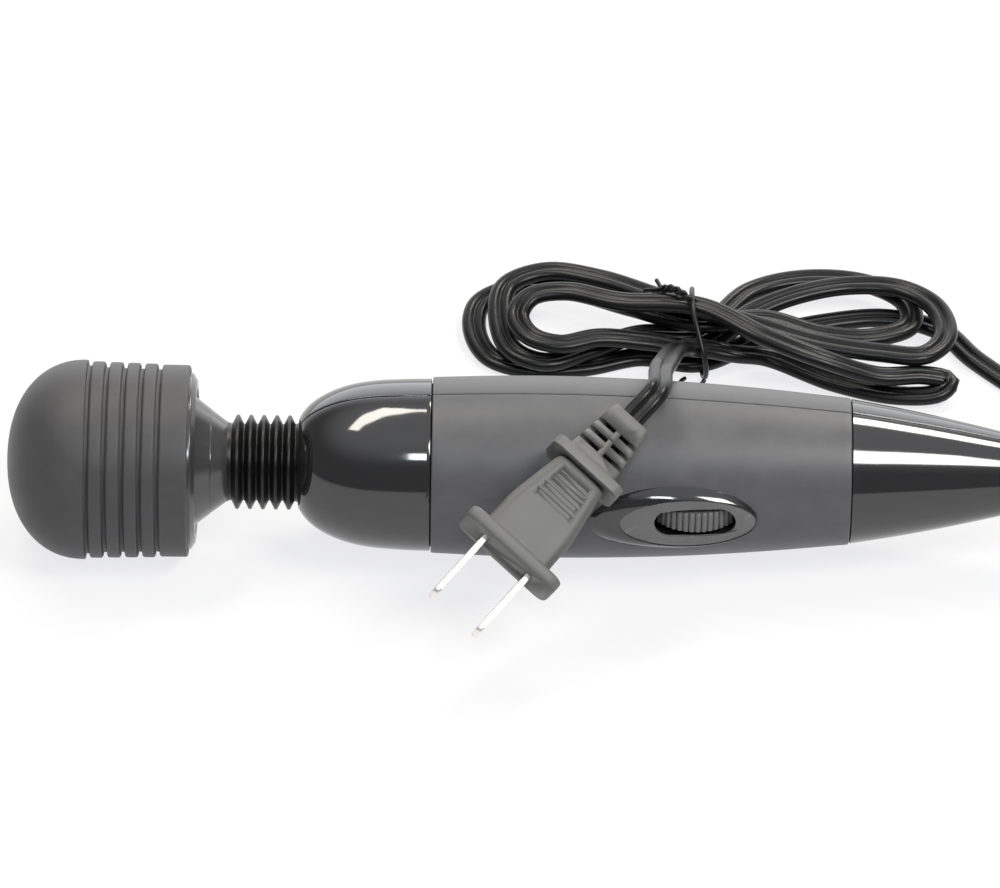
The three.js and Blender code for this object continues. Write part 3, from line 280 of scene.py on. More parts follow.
def smooth_path(points, step, closed=False):
    """Evenly spaced points along a centripetal Catmull-Rom curve through some points, step apart in metres."""
    points = [np.array(p, float) for p in points]
    if closed:
        points = [points[-1]] + points + points[:2]
    else:
        points = [2 * points[0] - points[1]] + points + [2 * points[-1] - points[-2]]
    dense = []
    for a, b, c, d in zip(points, points[1:], points[2:], points[3:]):
        t1 = np.linalg.norm(b - a) ** 0.5
        t2 = t1 + np.linalg.norm(c - b) ** 0.5
        t3 = t2 + np.linalg.norm(d - c) ** 0.5
        for t in np.linspace(t1, t2, CURVE_SAMPLES, endpoint=False):
            ab = (t1 - t) / t1 * a + t / t1 * b
            bc = (t2 - t) / (t2 - t1) * b + (t - t1) / (t2 - t1) * c
            cd = (t3 - t) / (t3 - t2) * c + (t - t2) / (t3 - t2) * d
            abc = (t2 - t) / t2 * ab + t / t2 * bc
            bcd = (t3 - t) / (t3 - t1) * bc + (t - t1) / (t3 - t1) * cd
            dense.append((t2 - t) / (t2 - t1) * abc + (t - t1) / (t2 - t1) * bcd)
    dense.append(dense[0] if closed else points[-2])
    dense = np.array(dense)
    lengths = np.concatenate([[0], np.cumsum(np.linalg.norm(np.diff(dense, axis=0), axis=1))])
    count = max(FEWEST_POINTS, int(lengths[-1] / step))
    places = np.linspace(0, lengths[-1], count, endpoint=not closed)
    return np.stack([np.interp(places, lengths, dense[:, k]) for k in range(3)], axis=1)


def circle(radius, sides):
    angles = [FULL_TURN * k / sides for k in range(sides)]
    return [(radius * math.cos(angle), radius * math.sin(angle)) for angle in angles]


def carve(piece, *cutters):
    """Cuts other solids out of a piece and deletes them."""
    for cutter in cutters:
        cut = piece.modifiers.new("cut", "BOOLEAN")
        cut.object = cutter
        cut.operation = "DIFFERENCE"
        cut.solver = "EXACT"
        depsgraph = bpy.context.evaluated_depsgraph_get()
        made = bpy.data.meshes.new_from_object(piece.evaluated_get(depsgraph))
        piece.modifiers.clear()
        piece.data = made
        bpy.data.objects.remove(cutter)


# ---- materials


def linear(value):
    return value / 12.92 if value <= 0.04045 else ((value + 0.055) / 1.055) ** 2.4


def shade(hex_colour):
    """A six-digit sRGB colour as linear RGBA."""
    parts = [int(hex_colour[i:i + 2], 16) / 255 for i in (0, 2, 4)]
    return tuple(linear(p) for p in parts) + (1,)


def set_inputs(node, **values):
    """Sets a node's inputs. An underscore stands for a space in an input's name."""
    for name, value in values.items():
        node.inputs[name.replace("_", " ")].default_value = value


ROUGHNESS_SPREAD = 0.08
SHEEN_ROUGHNESS = 0.45
CLOUD_SCALE = 0.06  # the noise that varies the colour, as a share of the grain's
BUMP_DISTANCE = 0.0002  # metres
WORN_FROM, WORN_TO = 0.52, 0.6  # how far a surface points out where wear starts and is full
WORN_GAIN, WORN_LIFT = 2.2, 0.02
FINISHES = {}


def add_finish(
    name, colour, roughness, metallic=0.0, grain=900, bump=0.0, variation=0.08, wear=0.0, streak=1.0, sheen=0.0,
    specular=0.5,
):
    """Adds a procedural material to FINISHES. grain is the number of specks in a metre, and streak stretches them along
    the wand."""
    material = bpy.data.materials.new(name)
    material.use_nodes = True
    nodes = material.node_tree.nodes
    links = material.node_tree.links
    shader = nodes["Principled BSDF"]
    set_inputs(
        shader, Metallic=metallic, Specular_IOR_Level=specular, Sheen_Weight=sheen, Sheen_Roughness=SHEEN_ROUGHNESS,
    )

    place = nodes.new("ShaderNodeTexCoord")
    stretch = nodes.new("ShaderNodeMapping")
    set_inputs(stretch, Scale=(1 / streak, 1, 1))
    links.new(place.outputs["Object"], stretch.inputs["Vector"])

    def noise(scale, detail):
        texture = nodes.new("ShaderNodeTexNoise")
        set_inputs(texture, Scale=scale, Detail=detail)
        links.new(stretch.outputs["Vector"], texture.inputs["Vector"])
        return texture.outputs["Fac"]

    def remap(value, low, high, start=0.3, stop=0.7):
        ramp = nodes.new("ShaderNodeMapRange")
        set_inputs(ramp, From_Min=start, From_Max=stop, To_Min=low, To_Max=high)
        links.new(value, ramp.inputs["Value"])
        return ramp.outputs["Result"]

    def mixed(factor, first, second):
        """Mixes two colours. first is a socket or a colour."""
        mix = nodes.new("ShaderNodeMix")
        mix.data_type = "RGBA"
        if isinstance(first, tuple):
            set_inputs(mix, A=first)
        else:
            links.new(first, mix.inputs["A"])
        set_inputs(mix, B=second)
        links.new(factor, mix.inputs["Factor"])
        return mix.outputs["Result"]

    cloud = noise(grain * CLOUD_SCALE, 4)
    speck = noise(grain, 3)
    base = shade(colour)[:3]

    def scaled(gain, lift=0.0):
        return tuple(min(1, c * gain + lift) for c in base) + (1,)

    colour_out = mixed(remap(cloud, 0, 1), scaled(1 - variation), scaled(1 + variation))
    if wear:
        geometry = nodes.new("ShaderNodeNewGeometry")
        worn = remap(geometry.outputs["Pointiness"], 0, wear, WORN_FROM, WORN_TO)
        colour_out = mixed(worn, colour_out, scaled(WORN_GAIN, WORN_LIFT))
    links.new(colour_out, shader.inputs["Base Color"])
    rough = remap(cloud, roughness * (1 - ROUGHNESS_SPREAD), roughness * (1 + ROUGHNESS_SPREAD))
    links.new(rough, shader.inputs["Roughness"])
    if bump:
        height = nodes.new("ShaderNodeBump")
        set_inputs(height, Strength=bump, Distance=BUMP_DISTANCE)
        links.new(speck, height.inputs["Height"])
        links.new(height.outputs["Normal"], shader.inputs["Normal"])
    FINISHES[name] = material


add_finish("soft_grey", "4c4b4c", 0.5, grain=2600, bump=0.16, wear=0.25, sheen=0.05, specular=0.3)
add_finish("grip_grey", "5a5a5c", 0.42, grain=3200, bump=0.14, wear=0.2, sheen=0.05, specular=0.35)
add_finish("gloss_black", "1e1e1f", 0.08, grain=300, bump=0.01, wear=0.15, specular=0.85)
add_finish("cone_gloss", "39393a", 0.2, grain=600, bump=0.02, wear=0.15, specular=0.8)
add_finish("satin_grey", "6a6a69", 0.4, grain=2600, bump=0.08, wear=0.3)
add_finish("black_rubber", "0c0c0c", 0.36, grain=1800, bump=0.05, wear=0.2, specular=0.35)
add_finish("cord_black", "0f0f10", 0.3, grain=1500, bump=0.06, wear=0.1, streak=3, specular=0.26)
add_finish("plug_grey", "5c5c5a", 0.5, grain=2400, bump=0.14, wear=0.35)
add_finish("nickel", "f2efe6", 0.3, metallic=0.8, grain=700, bump=0.04, streak=6)
add_finish("steel", "a8a8aa", 0.28, metallic=1, grain=1200, bump=0.05, streak=5)
add_finish("zinc", "9a9da0", 0.38, metallic=1, grain=500, bump=0.06, variation=0.15)
add_finish("copper", "b4693a", 0.32, metallic=1, grain=1500, bump=0.1, variation=0.15)
add_finish("brass", "b8923f", 0.3, metallic=1, grain=900, bump=0.05, streak=4)
add_finish("dark_plastic", "2e2e30", 0.45, grain=2000, bump=0.1, wear=0.3)
add_finish("dial_grey", "5e5e5d", 0.4, grain=2000, bump=0.1, wear=0.3)
add_finish("white_plastic", "d8d8d2", 0.5, grain=1800, bump=0.08)
add_finish("ferrite", "2e2c2b", 0.7, grain=1200, bump=0.2, variation=0.2)
add_finish("carbon", "1a1a1a", 0.8, grain=1600, bump=0.2)
add_finish("board_green", "1f5a34", 0.4, grain=800, bump=0.06, variation=0.12)
add_finish("hose_grey", "8a8a86", 0.55, grain=1500, bump=0.08)
add_finish("lead_red", "a02420", 0.45, grain=1200, bump=0.05)


def paint_cad_nodes():
    """Gives every CAD node its slot's finish. The nodes that no piece replaces still show."""
    for part in frame["record"]["subparts"]:
        node = frame["nodes"][part["node"]]
        node.data.materials.clear()
        node.data.materials.append(FINISHES[part["material_slot"]])


# ---- head

HEAD_RADIUS = 22.4
DOME_END = 17.8
DOME_POWER = 2.2
GROOVES = [18.4, 22.35, 26.3, 30.2, 34.1]
GROOVE_WIDTH = 1.15
GROOVE_DEPTH = 1.3
RIB_DROP, RIB_STEP = 0.25, 0.1  # the first rib below the dome, and each below the one before it
COLLAR_DROP = 0.2
COVER_END = 40.9
COVER_BORE = 20.1
COVER_LIP = 5
CORE_START, CORE_DOME, CORE_END, CORE_BORE = 3.7, 15, 20, 18.8
BASE_OUTLINE = [
    (36.9, 14.4), (36.9, 19.8, 0.2), (41.5, 19.8, 0.5), (42.5, 18.2, 0.4), (42.5, 16.6, 0.35), (40.9, 15.9, 0.3),
    (41, 15.3, 0.2), (45.7, 11.75, 0.1), (45.75, 11.5, 0.04), (45.95, 11.5, 0.04), (46, 11.45, 0.08),
    (49.6, 8.8, 0.3), (49.6, 5.2, 0.2), (52.5, 5.2, 0.2), (52.5, 3.7, 0.1), (41, 3.7, 0.1), (41, 5.3, 0.1),
    (37.1, 5.3, 0.1), (37.1, 7, 0.1),
]


def dome(tip, length, radius, steps):
    """A blunt round end, as a profile from its tip."""
    line = []
    for k in range(steps + 1):
        angle = k / steps * math.pi / 2
        along = tip + length * (1 - math.cos(angle) ** (2 / DOME_POWER))
        line.append((along, radius * math.sin(angle) ** (2 / DOME_POWER)))
    return line


def build_head_cover():
    """The soft cover: a dome, five grooves with ribs between them, and a collar over the base."""
    dome_length = DOME_END - 0.2
    last = len(GROOVES) - 1
    ribs = [HEAD_RADIUS - RIB_DROP - RIB_STEP * i for i in range(len(GROOVES))]
    corners = [(dome_length, HEAD_RADIUS)]
    half = GROOVE_WIDTH / 2
    for i, centre in enumerate(GROOVES):
        before = ribs[i] if i else HEAD_RADIUS
        after = ribs[i + 1] if i < last else ribs[last] - COLLAR_DROP
        corners += [
            (centre - half, before, 0.55),
            (centre - half * 0.8, before - GROOVE_DEPTH, 0.35),
            (centre + half * 0.8, before - GROOVE_DEPTH, 0.35),
            (centre + half, after, 0.55),
        ]
    collar = corners[-1][1]
    corners += [
        (COVER_END, collar, 0.9),
        (COVER_END, COVER_BORE, 0.4),
        (COVER_END - COVER_LIP, COVER_BORE, 0.3),
        (COVER_END - COVER_LIP, CORE_BORE, 0.2),
        (CORE_END, CORE_BORE),
    ]
    inside = list(reversed(dome(CORE_START, CORE_DOME, CORE_BORE, 16)))
    profile = dome(0, dome_length, HEAD_RADIUS, 40)[:-1] + fillet(corners) + inside
    lathe("head_cover_soft", profile, "soft_grey", 160, body="head", replaces="head_cover")


def build_head_base():
    """The cone under the cover, in the shell's gloss but a little lighter."""
    profile = fillet(BASE_OUTLINE, closed=True)
    lathe("head_base_cone", profile, "cone_gloss", body="head", replaces="head_base", slot="gloss_black")


# ---- neck

NECK_CENTRE = 57.5
CRESTS = [51.7 + 2.9 * k for k in range(5)]
CREST_RADIUS = 10.6
ROOT_RADIUS = 8.6
FOLD_HALF = 1.3
CREST_HALF = 0.3
BOOT_BORE = 7.1
BORE_STEPS = 12
BELLOWS_START = 49.3
FRONT_FIXED, REAR_FIXED = 49.7, 66.5  # beyond these the boot no longer bends
SLEEVE_START = 66.3
SLEEVE_RADIUS = 9.5
SLEEVE_END = 73.8


def bellows_profile(start, end):
    """The boot between two places along the wand, cut square."""
    outline = [(BELLOWS_START, ROOT_RADIUS + 0.4), (50, ROOT_RADIUS + 0.1, 0.3)]
    for crest in CRESTS:
        outline += [
            (crest - FOLD_HALF, ROOT_RADIUS, 0.3),
            (crest - CREST_HALF, CREST_RADIUS, 0.25),
            (crest + CREST_HALF, CREST_RADIUS, 0.25),
            (crest + FOLD_HALF, ROOT_RADIUS, 0.3),
        ]
    outline += [(SLEEVE_START, SLEEVE_RADIUS, 0.4), (SLEEVE_END, SLEEVE_RADIUS)]
    line = fillet(outline)
    xs = [p[0] for p in line]
    rs = [p[1] for p in line]
    ends = [(place, float(np.interp(place, xs, rs))) for place in (start, end)]
    between = [p for p in line if start < p[0] < end]
    bore = [(end - (end - start) * k / BORE_STEPS, BOOT_BORE) for k in range(BORE_STEPS + 1)]
    return [ends[0], *between, ends[1], *bore]


SPRING_RADIUS = 6
SPRING_WIRE = 0.55
SPRING_COILS = 4
SPRING_LENGTH = 14.8
COIL_STEPS = 24


def build_spring():
    """The coil spring inside the boot, in two halves. Its ends sit on their spigots."""
    steps = COIL_STEPS * SPRING_COILS
    for name, way, body in (("neck_spring_front", -1, "head"), ("neck_spring_rear", 1, "handle")):
        path = []
        ups = []
        for k in range(steps + 1):
            t = way * k / steps / 2
            angle = FULL_TURN * SPRING_COILS * t
            path.append(on_wand(NECK_CENTRE + t * SPRING_LENGTH, SPRING_RADIUS, angle))
            ups.append(on_wand(0, SPRING_RADIUS, angle) - on_wand(0, 0, 0))
        half = sweep(name, path, ups, circle(SPRING_WIRE * MM, 12), "steel", replaces="neck_spring")
        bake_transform(half)


def build_neck():
    """The boot is two meshes that meet in the middle of the neck."""
    for name, start, end, fixed, body in (
        ("neck_bellows_front", BELLOWS_START, NECK_CENTRE, FRONT_FIXED, "head"),
        ("neck_bellows_rear", NECK_CENTRE, SLEEVE_END, REAR_FIXED, "handle"),
    ):
        half = lathe(name, bellows_profile(start, end), "black_rubber", 96, replaces="neck_bellows")
        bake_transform(half)


# ---- handle

NOSE = [
    (65.5, 10.4), (66.6, 12), (68.3, 13.7), (70.3, 15.1), (72.6, 16.3), (75, 17.25), (78, 18.1), (82, 18.75),
    (88, 19.2), (95, 19.4),
]
GRIP = [(95.3, 19.75), (110, 20.25), (124, 20.4), (137, 20.15), (149, 19.7), (169, 18.35), (189, 16.45)]
TAIL = [(189.2, 16.25), (197, 14.95), (205, 13.45), (213, 11.8), (220.5, 10.1), (229, 8.1), (237, 6.4)]
MOUTH = [(65.9, 9.75), (65.55, 9.95), (65.4, 10.15)]
NOSE_RIM = [(94.98, 19.36), (95.05, 19.25), (95.08, 19.0), (95.1, 18.35)]
TAIL_LIP = [(189.15, 15.1), (189.16, 15.9), (189.2, 16.1)]
TAIL_END = [(237.2, 6.25), (237.8, 5.95), (238.2, 5.5), (238.3, 4.9)]
INSIDE = [
    (65.9, 9.72), (71.8, 9.75), (71.82, 12.4), (77, 12.4), (79, 15.8), (93, 17.2), (96, 16.8), (124, 17.1),
    (150, 16.4), (187, 13.4), (205, 11.5), (220, 8.2), (234, 6), (235.9, 5.7), (235.95, 4.3), (238.3, 4.3),
]
GRIP_START = 95.3
GRIP_END = 189
RECESS = 1.5
GRIP_THICKNESS = 1.25
GRIP_EDGE = [(0.12, 0.03), (0.25, 0.12), (0.35, 0.35)]  # along and down the panel's rounded edge
PANEL_END = 0.35
CUT_FROM, CUT_TO = 5, 30  # the reach of a cutting tool, out from the wand's axis
SHELL_SCREWS = [(124, 11), (124, -11), (198, 7.6), (198, -7.6)]
BORE_RADIUS = 2.5
BOSS_RADIUS = 3.9
BOSS_FLOOR = 5.1
BOSS_FLOOR_BORE = 1.4
BOSS_TOP = 20  # cut back to the shell's inside
BOSS_PLAIN = 12  # the boss's points deeper than this are moved to the shell
SCREW_SHANK = 1.2
SCREW_OUTLINE = [
    (-6.5, 0), (-6.5, SCREW_SHANK), (5.2, SCREW_SHANK), (5.25, 2.3), (6.3, 2.3, 0.5), (6.85, 1.4, 0.6), (6.9, 0),
]
CROSS_LONG, CROSS_SHORT = 1.35, 0.28
CROSS_FROM, CROSS_TO = 6, 8


def along_line(curve, start, end, count, depth=0.0):
    places = np.linspace(start, end, count)
    return [(float(x), r - depth) for x, r in zip(places, resample(curve, places))]


def shell_outline():
    """The outside of the whole handle under the grip, from the nose's mouth to the tail's end."""
    nose = along_line(NOSE, 65.5, 94.9, 34)
    floor = along_line(GRIP, GRIP_START, GRIP_END, 26, RECESS)
    tail = along_line(TAIL, 189.3, 236.4, 26)
    return MOUTH + nose + NOSE_RIM + floor + TAIL_LIP + tail + TAIL_END


def shell_inside(count):
    """The inside of the handle, with as many points as its outside has."""
    steps = [math.dist(a, b) for a, b in zip(INSIDE, INSIDE[1:])]
    lengths = np.concatenate([[0], np.cumsum(steps)])
    lengths /= lengths[-1]
    places = np.linspace(0, 1, count)
    columns = [np.interp(places, lengths, [p[axis] for p in INSIDE]) for axis in (0, 1)]
    return [(float(x), float(radius)) for x, radius in zip(*columns)]


def front_point(along, side, height):
    """A point over the front of the handle: side is up the table, height is out from the wand's axis."""
    return Vector((TIP + along * MM, AXIS_Y - height * MM, AXIS_Z + side * MM))


def oval_point(centre, length, width, angle):
    return centre + length / 2 * math.cos(angle), width / 2 * math.sin(angle)


def oval_cutter(centre, length, width, sides=96):
    """An oval prism pointing out of the front of the handle, as a cutting tool."""
    vertices = [
        front_point(*oval_point(centre, length, width, FULL_TURN * k / sides), height)
        for height in (CUT_FROM, CUT_TO)
        for k in range(sides)
    ]
    faces = ring_faces(2, sides) + end_caps(2, sides)
    return new_piece("cutter", vertices, faces, "gloss_black")


def build_handle():
    outline = shell_outline()
    inside = shell_inside(len(outline))
    for side, word in ((1, "front"), (-1, "back")):
        shell = half_lathe(
            f"{word}_shell_gloss", outline, inside, side, "gloss_black", body="handle", replaces=f"{word}_shell",
        )
        body = along_line(GRIP, GRIP_START + PANEL_END, GRIP_END - PANEL_END, 60)
        first, last = body[0], body[-1]
        start = [(first[0] - along, first[1] - down) for along, down in reversed(GRIP_EDGE)]
        stop = [(last[0] + along, last[1] - down) for along, down in GRIP_EDGE]
        start.insert(0, (first[0] - PANEL_END, first[1] - GRIP_THICKNESS))
        stop.append((last[0] + PANEL_END, last[1] - GRIP_THICKNESS))
        outer = start + body + stop
        inner = along_line(GRIP, outer[0][0], outer[-1][0], len(outer), GRIP_THICKNESS)
        panel = half_lathe(
            f"grip_panel_{word}", outer, inner, side, "grip_grey", body="handle", replaces=f"grip_{word}",
        )
        if side < 0:
            for x, height in SHELL_SCREWS:
                carve(shell, bore_cutter(x, height, BORE_RADIUS))
                if x < GRIP_END:
                    carve(panel, bore_cutter(x, height, BORE_RADIUS + 0.15))
        else:
            carve(shell, oval_cutter(RIM_CENTRE, SLEEVE_LENGTH + 0.8, SLEEVE_WIDTH + 0.8))
            carve(panel, oval_cutter(BEZEL_CENTRE, BEZEL_LENGTH - 0.8, BEZEL_WIDTH - 0.8))



def behind(x, height):
    """Places points round an axis that runs out of the back of the handle."""
    def place(depth, radius, angle):
        return Vector((
            TIP + (x + radius * math.cos(angle)) * MM,
            AXIS_Y + depth * MM,
            AXIS_Z + (height + radius * math.sin(angle)) * MM,
        ))
    return place


def bore_cutter(x, height, radius):
    profile = [(BOSS_FLOOR, 0), (BOSS_FLOOR, radius), (CUT_TO, radius), (CUT_TO, 0)]
    return lathe("cutter", profile, "gloss_black", 48, place=behind(x, height))


def build_shell_screws():
    """The screws that hold the two shells together, each at the bottom of its bore in the back shell."""
    for i, (x, height) in enumerate(SHELL_SCREWS):
        place = behind(x, height)
        skin = resample(GRIP, [x])[0] - RECESS if x < GRIP_END else resample(TAIL, [x])[0]

        def tube(depth, radius, angle):
            reach = math.sqrt(skin ** 2 - (height + radius * math.sin(angle)) ** 2) - 1
            return place(depth if depth < BOSS_PLAIN else reach, radius, angle)

        bore = BORE_RADIUS - 0.05
        profile = [
            (BOSS_FLOOR, BOSS_FLOOR_BORE), (BOSS_FLOOR, BOSS_RADIUS), (BOSS_TOP, BOSS_RADIUS), (BOSS_TOP, bore),
            (BOSS_FLOOR + 0.1, bore), (BOSS_FLOOR + 0.1, BOSS_FLOOR_BORE),
        ]
        lathe(f"screw_boss_{i + 1}", profile, "gloss_black", 48, tube, body="handle")
        screw = lathe(
            f"shell_screw_{i + 1}_head", fillet(SCREW_OUTLINE), "steel", 40, place, body="handle",
            replaces=f"shell_screw_{i + 1}",
        )
        for wide, tall in ((CROSS_LONG, CROSS_SHORT), (CROSS_SHORT, CROSS_LONG)):
            corners = [
                place(depth, math.hypot(wide, tall), math.atan2(v, u))
                for depth in (CROSS_FROM, CROSS_TO)
                for u, v in ((wide, tall), (-wide, tall), (-wide, -tall), (wide, -tall))
            ]
            faces = [(0, 1, 2, 3), (7, 6, 5, 4), (0, 4, 5, 1), (1, 5, 6, 2), (2, 6, 7, 3), (3, 7, 4, 0)]
            carve(screw, new_piece("cutter", corners, faces, "steel"))


# ---- switch

BEZEL_CENTRE = 149.3
BEZEL_LENGTH = 37.4
BEZEL_WIDTH = 16.9
RIM_CENTRE = 152.6
RIM_LENGTH = 30.6
RIM_WIDTH = 12.8
RIM_HEIGHT = 20.3
RIM_SLOPE = 0.055
SEAT_DEPTH = 0.9
SLEEVE_LENGTH = 28.4
SLEEVE_WIDTH = 11.8
SLEEVE_WALL = 1
SLEEVE_DEPTH = 16.2
BEZEL_BULGE = 0.4
PLATE_GAP = 0.15
PLATE_DROP = 0.14  # from the rim down to the plate's top
SLOT_LENGTH = 18.2
SLOT_WIDTH = 7.4
DIAL_X = 154.2
DIAL_RIBS = 50
DIAL_ROOT = 11.05
DIAL_PROFILE = [  # level over the width, radius, and how much the ribs show
    (-0.5, 1.7, 0), (-0.5, 9.4, 0), (-0.5, 10.4, 0.3), (-0.47, 10.9, 0.9), (-0.43, DIAL_ROOT, 1),
    (0.43, DIAL_ROOT, 1), (0.47, 10.9, 0.9), (0.5, 10.4, 0.3), (0.5, 9.4, 0), (0.5, 1.7, 0),
]


def surface_height(along, side):
    radius = resample(GRIP, [along])[0]
    return math.sqrt(radius ** 2 - side ** 2)


def rim_height(along):
    return RIM_HEIGHT - RIM_SLOPE * (along - RIM_CENTRE)


def build_bezel():
    """The glossy oval round the switch: a bulged slope up to the rim, the plate's seat, and a sleeve through the
    shell."""
    steps = 144
    slope_steps = 14
    sections = []
    for k in range(steps):
        angle = FULL_TURN * k / steps
        out_x, out_y = oval_point(BEZEL_CENTRE, BEZEL_LENGTH, BEZEL_WIDTH, angle)
        rim_x, rim_y = oval_point(RIM_CENTRE, RIM_LENGTH, RIM_WIDTH, angle)
        bore_x, bore_y = oval_point(RIM_CENTRE, SLEEVE_LENGTH - 2 * SLEEVE_WALL, SLEEVE_WIDTH - 2 * SLEEVE_WALL, angle)
        sleeve_x, sleeve_y = oval_point(RIM_CENTRE, SLEEVE_LENGTH, SLEEVE_WIDTH, angle)
        skin = surface_height(out_x, out_y)
        rim = rim_height(rim_x)
        section = [(out_x, out_y, skin - 1), (out_x, out_y, skin + 0.05)]
        for j in range(1, slope_steps + 1):
            t = j / slope_steps
            bulge = BEZEL_BULGE * math.sin(math.pi * t) ** 0.8 * (1 - 0.35 * t)
            section.append((
                out_x + (rim_x - out_x) * t,
                out_y + (rim_y - out_y) * t,
                skin + (rim - skin) * t + bulge,
            ))
        section += [
            (rim_x + (RIM_CENTRE - rim_x) * 0.006, rim_y * 0.985, rim - 0.06),
            (rim_x + (RIM_CENTRE - rim_x) * 0.008, rim_y * 0.98, rim - SEAT_DEPTH),
            (bore_x, bore_y, rim_height(bore_x) - SEAT_DEPTH),
            (bore_x, bore_y, SLEEVE_DEPTH),
            (sleeve_x, sleeve_y, SLEEVE_DEPTH),
            (sleeve_x, sleeve_y, surface_height(sleeve_x, sleeve_y) - 1.1),
        ]
        sections.append([front_point(*p) for p in section])
    round_sections("switch_bezel_gloss", sections, "gloss_black", replaces="switch_bezel", sharp_deg=50)


def slot_point(length, width, angle):
    """A point on a round-ended slot's edge, at the share of its length that an angle is of a full turn."""
    straight = length - width
    round_end = math.pi * width / 2
    edge = 2 * straight + 2 * round_end
    run = (angle / FULL_TURN * edge + straight / 2 + round_end / 2) % edge
    half = width / 2
    if run < straight:
        return straight / 2 - (straight - run), -half
    run -= straight
    if run < round_end:
        turn = run / half - math.pi / 2
        return straight / 2 + half * math.cos(turn), half * math.sin(turn)
    run -= round_end
    if run < straight:
        return straight / 2 - run, half
    turn = (run - straight) / half + math.pi / 2
    return -straight / 2 + half * math.cos(turn), half * math.sin(turn)


def build_plate():
    """The satin plate with its slot."""
    steps = 160
    top = RIM_HEIGHT - PLATE_DROP
    low = RIM_HEIGHT - SEAT_DEPTH + 0.05
    across = [
        (0, low), (0, top - 0.1), (0.03, top), (0.5, top + 0.02), (0.94, top), (0.985, top - 0.06), (1, top - 0.2),
        (1, low),
    ]
    sections = []
    for k in range(steps):
        angle = FULL_TURN * k / steps
        out_x, out_y = oval_point(0, RIM_LENGTH - 2 * PLATE_GAP, RIM_WIDTH - 2 * PLATE_GAP, angle)
        slot_x, slot_y = slot_point(SLOT_LENGTH, SLOT_WIDTH, angle)
        slot_x = slot_x + DIAL_X - RIM_CENTRE
        section = []
        for t, height in across:
            x = out_x + (slot_x - out_x) * t
            y = out_y + (slot_y - out_y) * t
            section.append(front_point(RIM_CENTRE + x, y, height - RIM_SLOPE * x))
        sections.append(section)
    round_sections("dial_plate_satin", sections, "satin_grey", replaces="dial_plate")


def build_dial():
    """The thumb wheel: rounded ribs across its rim, and a bored hub."""
    low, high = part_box("speed_dial")
    centre = (low + high) / 2
    radius = (high.x - low.x) / 2 / MM
    width = (high.z - low.z) / MM
    count = DIAL_RIBS * 10
    rib_height = radius - DIAL_ROOT + 0.05
    vertices = []
    for level, r, ribbed in DIAL_PROFILE:
        for k in range(count):
            angle = FULL_TURN * k / count
            rib = abs(math.cos(angle * DIAL_RIBS / 2)) ** 0.55 * rib_height * ribbed
            reach = (r + rib) * MM
            vertices.append(centre + Vector((reach * math.cos(angle), reach * math.sin(angle), level * width * MM)))
    faces = ring_faces(len(DIAL_PROFILE), count, loop=True)
    new_piece("speed_dial_ribbed", vertices, faces, "dial_grey", "dial", "speed_dial", "dark_plastic")


# ---- tail boot


BOOT_START = [
    (233.5, 3.3), (233.5, 5.1, 0.2), (235.7, 5.1, 0.2), (235.75, 3.95, 0.1), (238.5, 3.95, 0.1), (238.55, 5, 0.4),
]
BOOT_STOP = [(253, 3.75, 0.5), (253, 3.3, 0.1)]
RIDGE_START, RIDGE_STEP, RIDGE_COUNT = 241.5, 2.6, 4
RIDGE_RADIUS, RIDGE_TAPER = 4.85, 0.27


def build_cord_boot():
    """The cord's sleeve at the handle's end, with ridges that taper away from it."""
    ridges = []
    for k in range(RIDGE_COUNT):
        x = RIDGE_START + RIDGE_STEP * k
        r = RIDGE_RADIUS - RIDGE_TAPER * k
        ridges += [(x, r, 0.2), (x + 0.15, r - 0.5, 0.15), (x + 0.85, r - 0.55, 0.15), (x + 1, r - 0.1, 0.2)]
    profile = fillet(BOOT_START + ridges + BOOT_STOP, closed=True)
    lathe("cord_boot_ridged", profile, "black_rubber", 72, body="handle", replaces="cord_boot")


# ---- plug

BLADE_ROOT = 12
BLADE_LENGTH = 17.5
BLADES = [middle("plug_blade_left"), middle("plug_blade_right")]
PLUG_AHEAD = Vector(frame["record"]["mounts"][0]["axis"]).normalized()
PLUG_ACROSS = (BLADES[1] - BLADES[0]).normalized()
PLUG_OVER = PLUG_AHEAD.cross(PLUG_ACROSS)
PLUG_FACE = (BLADES[0] + BLADES[1]) / 2 - PLUG_AHEAD * (BLADE_LENGTH - BLADE_ROOT) / 2 * MM
BLADE_SPACING = 12.7
BLADE_WIDTH = 6.35
BLADE_THICKNESS = 1.5
BLADE_TIP = [(-BLADE_LENGTH + 2.2, 1), (-BLADE_LENGTH + 1, 0.95), (-BLADE_LENGTH + 0.35, 0.82), (-BLADE_LENGTH, 0.62)]
BODY_END = 25
REAR_START = 25.7
REAR_END = 28.4
BOOT_END = 42.7

